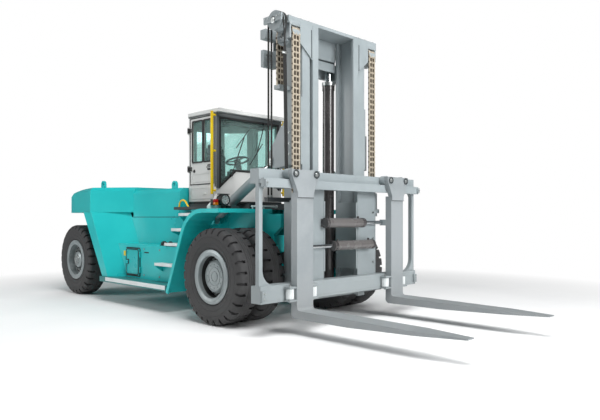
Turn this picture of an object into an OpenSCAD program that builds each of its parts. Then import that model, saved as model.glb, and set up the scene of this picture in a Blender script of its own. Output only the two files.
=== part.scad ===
// Heavy counterbalance forklift with twin front wheels, a two-stage mast and positioned forks.
// Every module draws in the axle frame: x = 0 at the front axle, +x forward, +y left, z = 0 on the ground.

/* [Wheels] */
// Outer radius of every tyre
tyre_r = 685; // [640:5:720]
// Width of one tyre
tyre_w = 390; // [340:5:400]
// Radius of the opening that a tyre leaves for its rim
bead_r = 345; // [320:5:370]
// Distance from the front axle to the rear axle
wheelbase = 4780; // [4600:10:5200]
// Middle of the outer front tyre, from the centre line
front_outer_y = 1360; // [1340:5:1380]
// Distance between the middles of the twin front tyres
twin_pitch = 460; // [450:5:470]
// Middle of a rear tyre, from the centre line
rear_y = 1160; // [1150:5:1200]
// Kingpin of a rear wheel, from the centre line
kingpin_y = 930; // [900:5:940]
// Radius of a wheel bearing seat
spindle_r = 90; // [70:5:110]

/* [Chassis] */
// Overhang behind the rear axle
rear_overhang = 1020; // [980:10:1200]
// Half width of the hood and of the frame below it
hood_y = 880; // [840:5:900]
// Height of the seam under the hood
hood_z0 = 1530; // [1480:5:1560]
// Height of the hood's top
hood_z1 = 2030; // [1980:5:2045]
// Wall of the hood
hood_wall = 40; // [20:5:60]
// Height of the counterweight's lower edge
weight_z0 = 1620; // [1600:5:1660]
// Height of the counterweight's top
weight_z1 = 2090; // [2060:5:2140]
// Half width of the counterweight at its front corners
weight_y = 1400; // [1340:5:1420]
// Half width of the counterweight at its rear corners
weight_rear_y = 1000; // [900:5:1100]
// Underside of the frame
frame_z0 = 450; // [420:5:480]
// Half width of the side boxes
tank_y = 1150; // [1100:5:1180]
// Top of the side boxes
tank_z1 = 1045; // [1000:5:1090]
// Half width over the running boards
board_y = 1450; // [1400:5:1480]
// Thickness of a running board
board_h = 90; // [60:5:100]
// Half width over the fenders
fender_y = 1500; // [1480:5:1530]
// Height of the fenders' tops
fender_z = 1650; // [1630:5:1700]
// Thickness of the fender sheet
fender_t = 30; // [20:5:40]
// Depth of the lip along a fender's outer edge
fender_lip = 60; // [45:5:90]
// Thickness of the deck under the cab
deck_t = 95; // [60:5:110]

/* [Cab] */
// Half width of the cab
cab_y = 720; // [700:5:740]
// Front face of the cab, behind the front axle
cab_front = 960; // [940:5:1000]
// Side length of the cab, from its front to its chamfered rear corner
cab_side = 760; // [740:5:800]
// Depth of the chamfered rear part over the hood
cab_rear = 520; // [440:5:600]
// Height of the cab's roof edge
cab_z1 = 3230; // [3180:5:3260]
// Wall of the cab
cab_wall = 60; // [50:5:70]
// Length of a door opening
door_l = 690; // [660:5:700]
// Sill of a door opening
door_z0 = 2065; // [2060:5:2100]
// Head of a door opening
door_z1 = 3200; // [3140:5:3205]
// Gap round a door
door_gap = 6; // [4:1:10]

/* [Mast] */
// Radius of the mast's tilt pin
pivot_r = 50; // [40:5:55]
// Half width over the outer rails
outer_rail_y = 680; // [670:5:690]
// Width of an outer rail's channel
outer_rail_w = 150; // [140:5:155]
// Depth of an outer rail, front to back
outer_rail_d = 370; // [350:5:375]
// Thickness of a rail's web and flanges
rail_t = 40; // [30:2:44]
// Top of the outer rails
outer_top = 3960; // [3900:10:3980]
// Half width over the inner rails
inner_rail_y = 500; // [490:2:505]
// Width of an inner rail
inner_rail_w = 115; // [105:5:120]
// Top of the crosshead plate
mast_top = 4268; // [4200:4:4300]
// Half width of the crosshead plate
crosshead_y = 943; // [920:1:960]
// Middle of a lift chain, from the centre line
chain_y = 830; // [820:2:840]
// Width of a lift chain
chain_w = 140; // [120:2:150]
// Outer radius of a lift cylinder's barrel
lift_barrel_r = 90; // [85:1:95]
// Radius of a lift cylinder's rod
lift_rod_r = 60; // [50:1:65]
// Outer radius of a tilt cylinder's barrel
tilt_barrel_r = 80; // [70:1:82]
// Radius of a tilt cylinder's rod
tilt_rod_r = 50; // [40:1:55]

/* [Carriage] */
// Half length of the carriage beams
beam_y = 1677; // [1660:1:1700]
// Underside of the lower beam
lower_beam_z0 = 436; // [430:2:450]
// Height of the lower beam
lower_beam_h = 223; // [200:1:230]
// Underside of the upper bar that the forks hang on
upper_bar_z0 = 1901; // [1890:1:1910]
// Height of the upper bar
upper_bar_h = 116; // [100:1:125]
// Middle of a fork, from the centre line
fork_y = 1010; // [1000:5:1020]
// Width of a fork
fork_w = 300; // [280:5:310]
// Length of a fork's blade ahead of its shank
fork_l = 2388; // [2200:1:2500]
// Top of a fork's blade at its heel
fork_z = 319; // [310:1:330]
// Thickness of a fork
fork_t = 109; // [90:1:112]

/* [Hidden] */
$fn = 48;

// Clearances: a running fit, a seat between two pieces, a plain gap between moving pieces
fit_gap = 0.05;
seat_gap = 0.3;
free_gap = 10;
RIGHT = -1;
LEFT = 1;
teal = "#1FB5B7";
steel_grey = "#9FA9AC";
dark_grey = "#45484A";
rubber_black = "#3A3836";
chrome_white = "#D8DCDD";

// Front axle height and the place of the truck in its own frame
axle_z = tyre_r;
fork_front_x = 1354;
front_reach = fork_front_x + fork_l;
front_axle_x = (rear_overhang + wheelbase - front_reach) / 2;
rear_x = -wheelbase;

// Tilt pin of the mast and the pins of the tilt cylinders
pivot = [520, 620];
tilt_base = [-950, 1500];
tilt_eye = [473, 2332];
tilt_y = 752;
tilt_len = norm(tilt_eye - tilt_base);
tilt_angle = atan2(tilt_eye[1] - tilt_base[1], tilt_eye[0] - tilt_base[0]);

// Rails: fronts and backs of the nested channels
outer_rail_x0 = 600;
outer_rail_x1 = outer_rail_x0 + outer_rail_d;
rail_z0 = 320;
inner_rail_x0 = outer_rail_x0 + rail_t;
inner_rail_x1 = outer_rail_x1 + 30;
inner_z0 = 470;
lift_cyl_x = outer_rail_x0 - lift_barrel_r - 10;
lift_cyl_y = inner_rail_y - 130;
lift_barrel_z1 = outer_top - 330;
lift_rod_z0 = 1200;

// Draws a box between low and high values on each axis
module box(x, y, z) {
    translate([x[0], y[0], z[0]]) cube([x[1] - x[0], y[1] - y[0], z[1] - z[0]]);
}

// Draws its children on both sides of the centre line
module both_sides() {
    children();
    mirror([0, 1, 0]) children();
}

// Draws left-hand children on the left, or mirrors them to the right
module on_side(side) {
    if (side == LEFT) children();
    else mirror([0, 1, 0]) children();
}

// Round bars along the three axes, between two values
module bar_x(y, z, r, x) {
    translate([x[0], y, z]) rotate([0, 90, 0]) cylinder(r = r, h = x[1] - x[0]);
}
module bar_y(x, z, r, y) {
    translate([x, y[0], z]) rotate([-90, 0, 0]) cylinder(r = r, h = y[1] - y[0]);
}
module bar_z(x, y, r, z) {
    translate([x, y, z[0]]) cylinder(r = r, h = z[1] - z[0]);
}

// Plates with a drawn outline, seen from the side, from above and from the front
module plate_xz(points, y) {
    translate([0, y[1], 0]) rotate([90, 0, 0]) linear_extrude(y[1] - y[0]) polygon(points);
}
module plate_xy(points, z) {
    translate([0, 0, z[0]]) linear_extrude(z[1] - z[0]) polygon(points);
}
module plate_yz(points, x) {
    translate([x[0], 0, 0]) rotate([90, 0, 90]) linear_extrude(x[1] - x[0]) polygon(points);
}

// Loft through level sections, each a list of [x, y] from front left round by the rear
module loft(sections, heights) {
    n = len(sections[0]);
    m = len(sections);
    points = [for (k = [0:m - 1]) for (p = sections[k]) [p[0], p[1], heights[k]]];
    sides = [for (k = [0:m - 2]) for (i = [0:n - 1])
        [k * n + i, (k + 1) * n + i, (k + 1) * n + (i + 1) % n, k * n + (i + 1) % n]];
    caps = [[for (i = [0:n - 1]) i], [for (i = [n - 1:-1:0]) (m - 1) * n + i]];
    polyhedron(points, concat(sides, caps));
}

// Closes a left half outline, listed from front to rear, by its mirror image
function mirrored(half) = concat(half, [for (i = [len(half) - 1:-1:0]) [half[i][0], -half[i][1]]]);

// Moves an open path sideways by t, with mitred corners
function side_step(a, b) = let (d = b - a) [-d[1], d[0]] / norm(d);
function inset_path(p, t) = [for (i = [0:len(p) - 1])
    let (n0 = side_step(p[max(i - 1, 0)], p[max(i, 1)]),
         n1 = side_step(p[min(i, len(p) - 2)], p[min(i + 1, len(p) - 1)]),
         n = n0 + n1)
    p[i] + n * 2 * t / (n * n)];
function band(p, t) = let (q = inset_path(p, t)) concat(p, [for (i = [len(q) - 1:-1:0]) q[i]]);
function arc(c, r, a0, a1, steps) =
    [for (i = [0:steps]) let (a = a0 + (a1 - a0) * i / steps) c + r * [cos(a), sin(a)]];

// Front edge of the counterweight and of the raked panels ahead of the rear wheels
weight_x0 = rear_x + 1480;
weight_corner_x = rear_x + 790;
weight_rear_x = -wheelbase - rear_overhang;
board_z1 = frame_z0;
board_z0 = board_z1 - board_h;
panel_foot_x = weight_x0;
panel_head_x = weight_corner_x + 40;
panel_foot_w = 210;
panel_head_w = 320;
panel_slope = 550 / 520;
function panel_x(z) = panel_foot_x + (panel_head_x - panel_foot_x) * (z - board_z1) / (weight_z0 - board_z1);
function panel_front(z, y) = panel_x(z) + (weight_y - y) * panel_slope;

// Chassis: front plates to the mast pins, side walls round the engine, a spine to the steer axle
frame_y = 560;
frame_plate = 70;
side_wall = 50;
frame_rear_x = weight_x0 - 350;
spine_y = 350;
spine_z0 = 1010;
cheek_x = 400;
cab_bulkhead_x = -1250;
axle_tube_r = 200;

module frame() {
    color(teal) {
        both_sides() {
            difference() {
                union() {
                    plate_xz([[cab_bulkhead_x, frame_z0], [300, frame_z0], [pivot[0] - 40, pivot[1] - 60],
                        [pivot[0] - 40, pivot[1] + 60], [250, 1050], [250, 1260], [cheek_x, 1380],
                        [cheek_x, 1573], [fender_x1, 1573], [fender_x1, fender_z], [cab_bulkhead_x, fender_z]],
                        [frame_y - frame_plate, frame_y]);
                    bar_y(pivot[0], pivot[1], pivot_r + 15, [frame_y - frame_plate, frame_y]);
                }
                bar_y(0, axle_z, axle_tube_r + seat_gap, [frame_y - frame_plate - 1, frame_y + 1]);
            }
            bar_y(pivot[0], pivot[1], pivot_r, [frame_y - 20, outer_rail_y - 20]);
            box([frame_rear_x, cab_bulkhead_x], [hood_y - side_wall, hood_y], [frame_z0, hood_z0]);
            box([cab_bulkhead_x - side_wall, cab_bulkhead_x], [frame_y - frame_plate, hood_y - side_wall],
                [frame_z0, fender_z]);
            box([deck_x[0], cab_bulkhead_x], [hood_y - side_wall, hood_y], [hood_z0, fender_z]);
            for (y = [tilt_y - 75, tilt_y + 50])
                difference() {
                    plate_xz([[cab_bulkhead_x, 1350], [tilt_base[0] + 80, 1420], [tilt_base[0] + 80, 1560],
                        [cab_bulkhead_x, 1560]], [y, y + 25]);
                    bar_y(tilt_base[0], tilt_base[1], 45 + fit_gap, [y - 1, y + 26]);
                }
        }
        box([frame_rear_x, frame_rear_x + side_wall], [-hood_y + side_wall, hood_y - side_wall],
            [frame_z0 + belly_t, weight_z0]);
        box([rear_x - 620, frame_rear_x], [-spine_y, spine_y], [spine_z0, weight_z0]);
        box([100, 180], [-frame_y + frame_plate, frame_y - frame_plate], [1000, 1250]);
    }
}

// Belly plate under the engine
belly_t = 40;
module belly_plate() {
    color(teal)
        box([frame_rear_x, cab_bulkhead_x - side_wall], [-hood_y + side_wall, hood_y - side_wall],
            [frame_z0, frame_z0 + belly_t]);
}

// Counterweight: a wide raked block that tapers to the rear, with a keel between the rear wheels
weight_half = [[weight_x0, hood_y], [weight_corner_x, weight_y], [weight_rear_x + 90, weight_rear_y],
    [weight_rear_x, weight_rear_y - 130]];
function drawn_in(half, d) = [for (p = half) [p[0] + (p[0] < weight_corner_x - 1 ? d : 0), p[1] - d]];
// Top of the rear: where it begins to fall, and how far it has fallen at the rear face
back_x = rear_x + 180;
back_drop = 220;
keel_x = [weight_rear_x + 60, rear_x - 620];
tow_x = weight_rear_x + 30;
tow_z = 760;
tow_r = 32;

module counterweight() {
    color(teal) difference() {
        union() {
            intersection() {
                loft([mirrored(weight_half), mirrored(weight_half), mirrored(drawn_in(weight_half, 60))],
                    [weight_z0, weight_z1 - 60, weight_z1]);
                plate_xz(concat([[weight_x0 + 100, weight_z0 - 10], [weight_x0 + 100, weight_z1 + 10],
                    [back_x, weight_z1 + 10]], [for (a = [0:15:90])
                        [back_x - (back_x - weight_rear_x) * sin(a), weight_z1 - back_drop * (1 - cos(a))]],
                    [[weight_rear_x, weight_z0 - 10]]), [-weight_y - 100, weight_y + 100]);
            }
            loft([mirrored([[keel_x[1], spine_y], [keel_x[0] + 120, spine_y], [keel_x[0] + 120, spine_y - 60]]),
                mirrored([[keel_x[1], spine_y], [keel_x[0], spine_y], [keel_x[0], spine_y - 60]])],
                [560, weight_z0]);
            for (z = [tow_z - 75, tow_z + 40])
                plate_xy(concat([[keel_x[0] + 130, -110], [keel_x[0] + 130, 110]],
                    arc([tow_x + 70, 0], 70, 90, 270, 12)), [z, z + 35]);
        }
        bar_z(tow_x + 70, 0, tow_r, [tow_z - 80, tow_z + 80]);
        box([weight_rear_x - 10, weight_rear_x + 130], [-grille_y, grille_y], [grille_z0, grille_z1]);
        both_sides() box([weight_rear_x - 10, weight_rear_x + tail_depth], tail_y, tail_z);
    }
    color(teal) both_sides()
        lifting_eye(weight_corner_x + 130, weight_y - 210, weight_z1);
}

// Lifting eye: a plate with a round head and a hole, standing on a top face
eye_r = 30;
module lifting_eye(x, y, z) {
    difference() {
        union() {
            box([x - 70, x + 70], [y - 20, y + 20], [z, z + 60]);
            bar_y(x, z + 60, 70, [y - 20, y + 20]);
        }
        bar_y(x, z + 70, eye_r, [y - 30, y + 30]);
        box([x - 80, x + 80], [y - 30, y + 30], [z - 80, z]);
    }
}

// Radiator outlet in the counterweight's rear face
grille_y = 520;
grille_z0 = 1690;
grille_z1 = 1830;
grille_bars = 4;
module rear_grille() {
    pitch = (grille_z1 - grille_z0) / grille_bars;
    color(dark_grey) {
        box([weight_rear_x + 90, weight_rear_x + 130], [-grille_y, grille_y], [grille_z0, grille_z1]);
        for (i = [0:grille_bars - 1])
            box([weight_rear_x + 30, weight_rear_x + 90], [-grille_y, grille_y],
                [grille_z0 + (i + 0.25) * pitch, grille_z0 + (i + 0.75) * pitch]);
    }
}

// Raked panels between the running boards and the counterweight, ahead of the rear wheels
module arch_panels() {
    feet = [[panel_front(board_z1, hood_y), hood_y], [panel_x(board_z1), weight_y],
        [panel_x(board_z1) - panel_foot_w, weight_y], [panel_x(board_z1) - panel_foot_w, hood_y]];
    heads = [[panel_front(weight_z0, hood_y), hood_y], [panel_x(weight_z0), weight_y],
        [panel_x(weight_z0) - panel_head_w, weight_y], [panel_x(weight_z0) - panel_head_w, hood_y]];
    color(teal) both_sides() loft([feet, heads], [board_z1, weight_z0]);
}

// Hood over the engine, open below and at the rear
hood_x1 = -1760;
function hood_outline(t) = [[-hood_y + t, hood_z0 - 1], [hood_y - t, hood_z0 - 1], [hood_y - t, hood_z1 - 70 - t / 2],
    [hood_y - 70 - t / 2, hood_z1 - t], [70 - hood_y + t / 2, hood_z1 - t], [t - hood_y, hood_z1 - 70 - t / 2]];
module hood() {
    color(teal) {
        difference() {
            plate_yz(hood_outline(0), [weight_x0, hood_x1]);
            plate_yz(hood_outline(hood_wall), [weight_x0 - 1, hood_x1 - hood_wall]);
            box([weight_x0 - 1, hood_x1 + 1], [-hood_y - 1, hood_y + 1], [hood_z0 - 10, hood_z0]);
        }
        both_sides() lifting_eye(hood_x1 - 300, hood_y - 100, hood_z1);
    }
}

// Engine and gearbox, one block on the belly plate
engine_x1 = -1950;
module engine() {
    color(dark_grey) box([frame_rear_x + 500, engine_x1], [-400, 400], [frame_z0 + belly_t, 1720]);
}

// Boxes along both sides under the hood, one with an access door on the right
box_x1 = -1350;
box_wall = 40;
door_box_x = [weight_x0 + 260, weight_x0 + 710];
door_box_z = [500, 970];
pocket = 160;
box_door_t = 25;
hinge_r = 12;
module side_boxes() {
    rear = [for (z = [board_z1, tank_z1]) panel_front(z, hood_y) + seat_gap];
    edge = [for (z = [board_z1, tank_z1]) panel_front(z, tank_y) + seat_gap];
    color(teal) difference() {
        both_sides() loft([for (k = [0, 1])
            [[box_x1, hood_y], [box_x1, tank_y], [edge[k], tank_y], [rear[k], hood_y]]], [board_z1, tank_z1]);
        plate_xy([[door_box_x[0] + 35, -tank_y - 1], [door_box_x[1] - 25, -tank_y - 1],
            [door_box_x[1] - 25, pocket - tank_y], [door_box_x[0] + 200, pocket - tank_y],
            [door_box_x[0] + 35, pocket / 3 - tank_y]], [door_box_z[0] + 25, door_box_z[1] - 25]);
    }
    color(teal) for (z = [door_box_z[0] + 70, door_box_z[1] - 130])
        bar_z(door_box_x[1] + 20, -tank_y - hinge_r - 6, hinge_r / 2, [z - 20, z + 80]);
    color(teal) for (z = [door_box_z[0] + 70, door_box_z[1] - 130])
        for (dz = [-20, 62])
            box([door_box_x[1] + 8, door_box_x[1] + 32], [-tank_y - 30, -tank_y], [z + dz, z + dz + 18]);
}

// Access door of the right side box, hinged at its front edge
module box_door() {
    y = -tank_y - seat_gap;
    color(teal) {
        box(door_box_x, [y - box_door_t, y], door_box_z);
        bar_z(door_box_x[0] + 60, y - box_door_t - 15, 30, [700, 760]);
        for (z = [door_box_z[0] + 70, door_box_z[1] - 130]) difference() {
            union() {
                bar_z(door_box_x[1] + 20, -tank_y - hinge_r - 6, hinge_r, [z, z + 60]);
                box([door_box_x[1] - 20, door_box_x[1] + 20], [y - 22, y - 12], [z, z + 60]);
            }
            bar_z(door_box_x[1] + 20, -tank_y - hinge_r - 6, hinge_r / 2 + fit_gap, [z - 1, z + 61]);
        }
    }
}

// Running boards under the boxes
board_x = [panel_foot_x - panel_foot_w, -1300];
module running_boards() {
    color(teal) both_sides() box(board_x, [hood_y, board_y], [board_z0, board_z1]);
}

// Treads up to the deck: rear end, outer edge and top of each
step_t = 40;
step_front_x = -1260;
steps_table = [[-1870, 1300, 770], [-1730, 1200, 1100], [-1680, 1100, 1340], [-1610, 1000, 1590]];
module steps() {
    color(chrome_white) both_sides() for (s = steps_table)
        box([s[0], s[2] < tank_z1 ? box_x1 : step_front_x], [s[2] < tank_z1 ? tank_y : hood_y, s[1]],
            [s[2] - step_t, s[2]]);
}

// Fenders over the twin wheels: a bent sheet with a lip along its outer and front edges, and a walkway inside it
fender_inner_y = 1000;
fender_x1 = 140;
fender_path = concat([[fender_x1, fender_z]],
    arc([-290, fender_z - 560], 560, 90, 155, 6), [[-1215, board_z1 - 90]]);
module fenders() {
    color(teal) both_sides() {
        plate_xz(band(fender_path, fender_t), [fender_inner_y, fender_y]);
        plate_xz(band(fender_path, fender_lip), [fender_y - fender_t, fender_y]);
        box([fender_x1 - fender_t, fender_x1], [frame_y, fender_y], [fender_z - fender_lip, fender_z]);
        difference() {
            box([cab_bulkhead_x, fender_x1], [frame_y, fender_inner_y], [fender_z - fender_t, fender_z]);
            box([-1150, -200], slot_y, [fender_z - fender_t - 1, fender_z + 1]);
        }
    }
}

// Deck that carries the cab, resting on the fenders, with slots for the tilt cylinders
deck_x = [-1740, -200];
deck_y = 1010;
slot_y = [tilt_y - 100, tilt_y + 100];
module deck() {
    color(dark_grey) difference() {
        union() {
            box(deck_x, [-deck_y, deck_y], [fender_z, fender_z + deck_t / 2]);
            box(deck_x, [-cab_y - 20, cab_y + 20], [fender_z + deck_t / 2, fender_z + deck_t]);
        }
        both_sides() box([-1150, deck_x[1] + 1], slot_y, [fender_z - 1, fender_z + deck_t + 1]);
    }
}

// Turns a profile of [radius, y] points round an axle
module revolve_y(x, z, profile) {
    translate([x, 0, z]) rotate([-90, 0, 0]) rotate_extrude($fn = 64) polygon(profile);
}

// Tyre: half widths at the bead and at the tread, and the flange that holds the bead
bead_half = tyre_w / 2 - 45;
flange_w = 22;
flange_r = bead_r + 41;
rim_seat_r = bead_r - seat_gap;
rim_bore_r = bead_r - 45;
tyre_half = [[bead_r, bead_half], [flange_r + 9, bead_half], [tyre_r - 165, tyre_w / 2],
    [tyre_r - 80, tyre_w / 2 - 4], [tyre_r - 24, tyre_w / 2 - 22], [tyre_r, tyre_w / 2 - 62]];
function tyre_section(y) = concat([for (p = tyre_half) [p[0], y + p[1]]],
    [for (i = [len(tyre_half) - 1:-1:0]) [tyre_half[i][0], y - tyre_half[i][1]]]);

module tyre(x, y) {
    color(rubber_black) revolve_y(x, axle_z, tyre_section(y));
}

// Outline of a rim's barrel under one tyre, from its outer flange to its inner one
function rim_barrel(y) = let (a = bead_half + seat_gap, b = bead_half + flange_w)
    [[flange_r, y + b], [flange_r, y + a], [rim_seat_r, y + a], [rim_seat_r, y - a], [flange_r, y - a],
        [flange_r, y - b]];

// Front hub: end of the axle sleeve, wheel disc, hub cover
front_inner_y = front_outer_y - twin_pitch;
front_disc_y = front_outer_y - 160;
disc_t = 40;
hub_cover_r = 235;
hub_sleeve_r = spindle_r + 65;
front_hub_y0 = front_disc_y - 140;
front_cover_y = front_outer_y + 110;
module rims_front() {
    edge = bead_half + flange_w;
    color(steel_grey) revolve_y(0, axle_z, concat(
        [[0, front_cover_y], [hub_cover_r - 25, front_cover_y], [hub_cover_r, front_cover_y - 25],
            [hub_cover_r, front_disc_y + disc_t], [rim_bore_r, front_disc_y + disc_t],
            [rim_bore_r, front_outer_y + edge]],
        rim_barrel(front_outer_y), [[rim_seat_r - 5, front_outer_y - edge], [rim_seat_r - 5, front_inner_y + edge]],
        rim_barrel(front_inner_y),
        [[rim_bore_r, front_inner_y - edge], [rim_bore_r, front_disc_y], [hub_sleeve_r, front_disc_y],
            [hub_sleeve_r, front_hub_y0], [spindle_r + fit_gap, front_hub_y0],
            [spindle_r + fit_gap, front_cover_y - 50], [0, front_cover_y - 50]]));
}
module tyres_front() {
    tyre(0, front_outer_y);
    tyre(0, front_inner_y);
}

// Drive axle: housing through the frame, sleeves into the inner rims, spindles in the hubs
axle_tube_y = front_inner_y - tyre_w / 2 - 15;
module drive_axle() {
    color(dark_grey) {
        translate([0, 0, axle_z]) sphere(r = 300);
        bar_y(0, axle_z, axle_tube_r, [-axle_tube_y, axle_tube_y]);
        bar_y(0, axle_z, hub_sleeve_r - 5, [10 - front_hub_y0, front_hub_y0 - 10]);
        bar_y(0, axle_z, spindle_r, [60 - front_cover_y, front_cover_y - 60]);
    }
}

// Steer axle: a beam under the spine with a yoke round each kingpin
kingpin_r = 45;
yoke_r = 100;
knuckle_h = 340;
yoke_gap = 5;
yoke_t = 55;
beam_h = 300;
steer_beam_d = 240;
module steer_axle() {
    color(dark_grey) {
        box([rear_x - steer_beam_d / 2, rear_x + steer_beam_d / 2], [150 - kingpin_y, kingpin_y - 150],
            [axle_z - beam_h / 2, axle_z + beam_h / 2]);
        box([rear_x - 200, rear_x + 200], [50 - spine_y, spine_y - 50], [axle_z + beam_h / 2, spine_z0]);
        both_sides() {
            bar_z(rear_x, kingpin_y, kingpin_r, [axle_z - knuckle_h / 2 - 30, axle_z + knuckle_h / 2 + 30]);
            for (z = [axle_z - knuckle_h / 2 - yoke_gap - yoke_t, axle_z + knuckle_h / 2 + yoke_gap]) {
                bar_z(rear_x, kingpin_y, yoke_r, [z, z + yoke_t]);
                box([rear_x - yoke_r, rear_x + yoke_r], [kingpin_y - 260, kingpin_y], [z, z + yoke_t]);
            }
            box([rear_x - yoke_r, rear_x + yoke_r], [kingpin_y - 260, kingpin_y - 150],
                [axle_z - knuckle_h / 2 - yoke_t, axle_z + knuckle_h / 2 + yoke_t]);
        }
    }
}

// Knuckle: turns on the kingpin and carries the rear wheel's spindle
knuckle_r = 110;
rear_disc_y = rear_y + 20;
rear_hub_y0 = rear_disc_y - 120;
rear_cover_y = rear_y + 140;
module knuckle() {
    color(dark_grey) difference() {
        union() {
            bar_z(rear_x, kingpin_y, knuckle_r, [axle_z - knuckle_h / 2, axle_z + knuckle_h / 2]);
            bar_y(rear_x, axle_z, hub_sleeve_r - 15, [kingpin_y, rear_hub_y0 - 10]);
            bar_y(rear_x, axle_z, spindle_r, [kingpin_y, rear_cover_y - 60]);
        }
        bar_z(rear_x, kingpin_y, kingpin_r + fit_gap, [axle_z - knuckle_h, axle_z + knuckle_h]);
    }
}
module rim_rear() {
    edge = bead_half + flange_w;
    color(steel_grey) revolve_y(rear_x, axle_z, concat(
        [[0, rear_cover_y], [hub_sleeve_r - 45, rear_cover_y], [hub_sleeve_r, rear_cover_y - 25],
            [hub_sleeve_r, rear_disc_y + disc_t], [rim_bore_r, rear_disc_y + disc_t], [rim_bore_r, rear_y + edge]],
        rim_barrel(rear_y),
        [[rim_bore_r, rear_y - edge], [rim_bore_r, rear_disc_y], [hub_sleeve_r, rear_disc_y],
            [hub_sleeve_r, rear_hub_y0], [spindle_r + fit_gap, rear_hub_y0],
            [spindle_r + fit_gap, rear_cover_y - 50], [0, rear_cover_y - 50]]));
}
module tyre_rear() {
    tyre(rear_x, rear_y);
}

// Outer mast: two channels that open inwards, ties behind them, pin lugs and chain anchors
tie_x = [330, 390];
tie_z = [[1950, 2130], [outer_top - 250, outer_top - 10]];
top_tie_y = 880;
mast_foot_t = 50;
lug_y = [frame_y + free_gap, outer_rail_y - 40];
tilt_pin_r = 40;
rod_eye_w = 70;
gusset_t = 28;
sheave_r = 140;
sheave_x = inner_rail_x1 - 20 - sheave_r;
sheave_z = mast_top - 238;
anchor_z = outer_top - 580;
chain_t = 32;
chain_rear_x = sheave_x - sheave_r;
chain_front_x = sheave_x + sheave_r;

module outer_mast() {
    web_y = outer_rail_y - rail_t;
    lip_y = outer_rail_y - outer_rail_w;
    color(steel_grey) both_sides() {
        box([outer_rail_x0, outer_rail_x1], [web_y, outer_rail_y], [rail_z0, outer_top]);
        for (x = [outer_rail_x0, outer_rail_x1 - rail_t])
            box([x, x + rail_t], [lip_y, web_y], [rail_z0, outer_top]);
        difference() {
            union() {
                bar_y(pivot[0], pivot[1], pivot_r + 28, lug_y);
                plate_xz([[pivot[0], pivot[1] - 76], [outer_rail_x0 + 10, 480], [outer_rail_x0 + 10, 760],
                    [pivot[0], pivot[1] + 76]], lug_y);
            }
            bar_y(pivot[0], pivot[1], pivot_r + fit_gap, [lug_y[0] - 1, lug_y[1] + 1]);
        }
        for (z = tie_z)
            box([tie_x[0], outer_rail_x0], [web_y - 60, web_y], z);
        box([chain_rear_x - chain_t - 40, chain_rear_x + 40], [outer_rail_y, chain_y + chain_w / 2],
            [anchor_z - 60, anchor_z]);
    }
    color(steel_grey) {
        box([400, outer_rail_x1 - 200], [-web_y, web_y], [rail_z0, rail_z0 + mast_foot_t]);
        for (z = tie_z)
            box(tie_x, [-web_y, web_y], z);
        both_sides() box(tie_x, [web_y, top_tie_y], tie_z[1] + [60, -50]);
    }
}

// Brackets on the rails for the rods of the tilt cylinders, with the pins between their plates
module tilt_brackets() {
    outer_plate_y = tilt_y + rod_eye_w / 2 + 7;
    color(steel_grey) both_sides() {
        plate_xz([[410, 2270], [560, 2220], [outer_rail_x1, 2260], [outer_rail_x1, 3200], [760, 3200], [405, 2410]],
            [outer_rail_y, outer_rail_y + gusset_t]);
        plate_xz([[410, 2270], [560, 2220], [900, 2260], [900, 2800], [680, 2800], [405, 2410]],
            [outer_plate_y, outer_plate_y + gusset_t]);
        box([720, 760], [outer_rail_y, outer_plate_y + 3], [2300, 2780]);
        bar_y(tilt_eye[0], tilt_eye[1], tilt_pin_r, [outer_rail_y, outer_plate_y + 48]);
    }
}

// Bracket on the right rail that holds the rear ends of the hoses
module hose_bracket() {
    color(dark_grey)
        box([hose_x[0] - 40, hose_x[0] + 40], [-hose_y[3] - 30, -outer_rail_y], [hose_rear_z - 60, hose_rear_z]);
}

// Lift cylinders behind the rails
module lift_barrels() {
    color(dark_grey) both_sides() difference() {
        union() {
            bar_z(lift_cyl_x, lift_cyl_y, lift_barrel_r, [rail_z0 + mast_foot_t, lift_barrel_z1]);
            bar_z(lift_cyl_x, lift_cyl_y, lift_barrel_r + 8, [lift_barrel_z1 - 120, lift_barrel_z1]);
        }
        bar_z(lift_cyl_x, lift_cyl_y, lift_rod_r + fit_gap, [lift_rod_z0 - 110, lift_barrel_z1 + 1]);
    }
}
module lift_rods() {
    color(chrome_white) both_sides()
        bar_z(lift_cyl_x, lift_cyl_y, lift_rod_r, [lift_rod_z0, mast_top - crosshead_t]);
}

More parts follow.
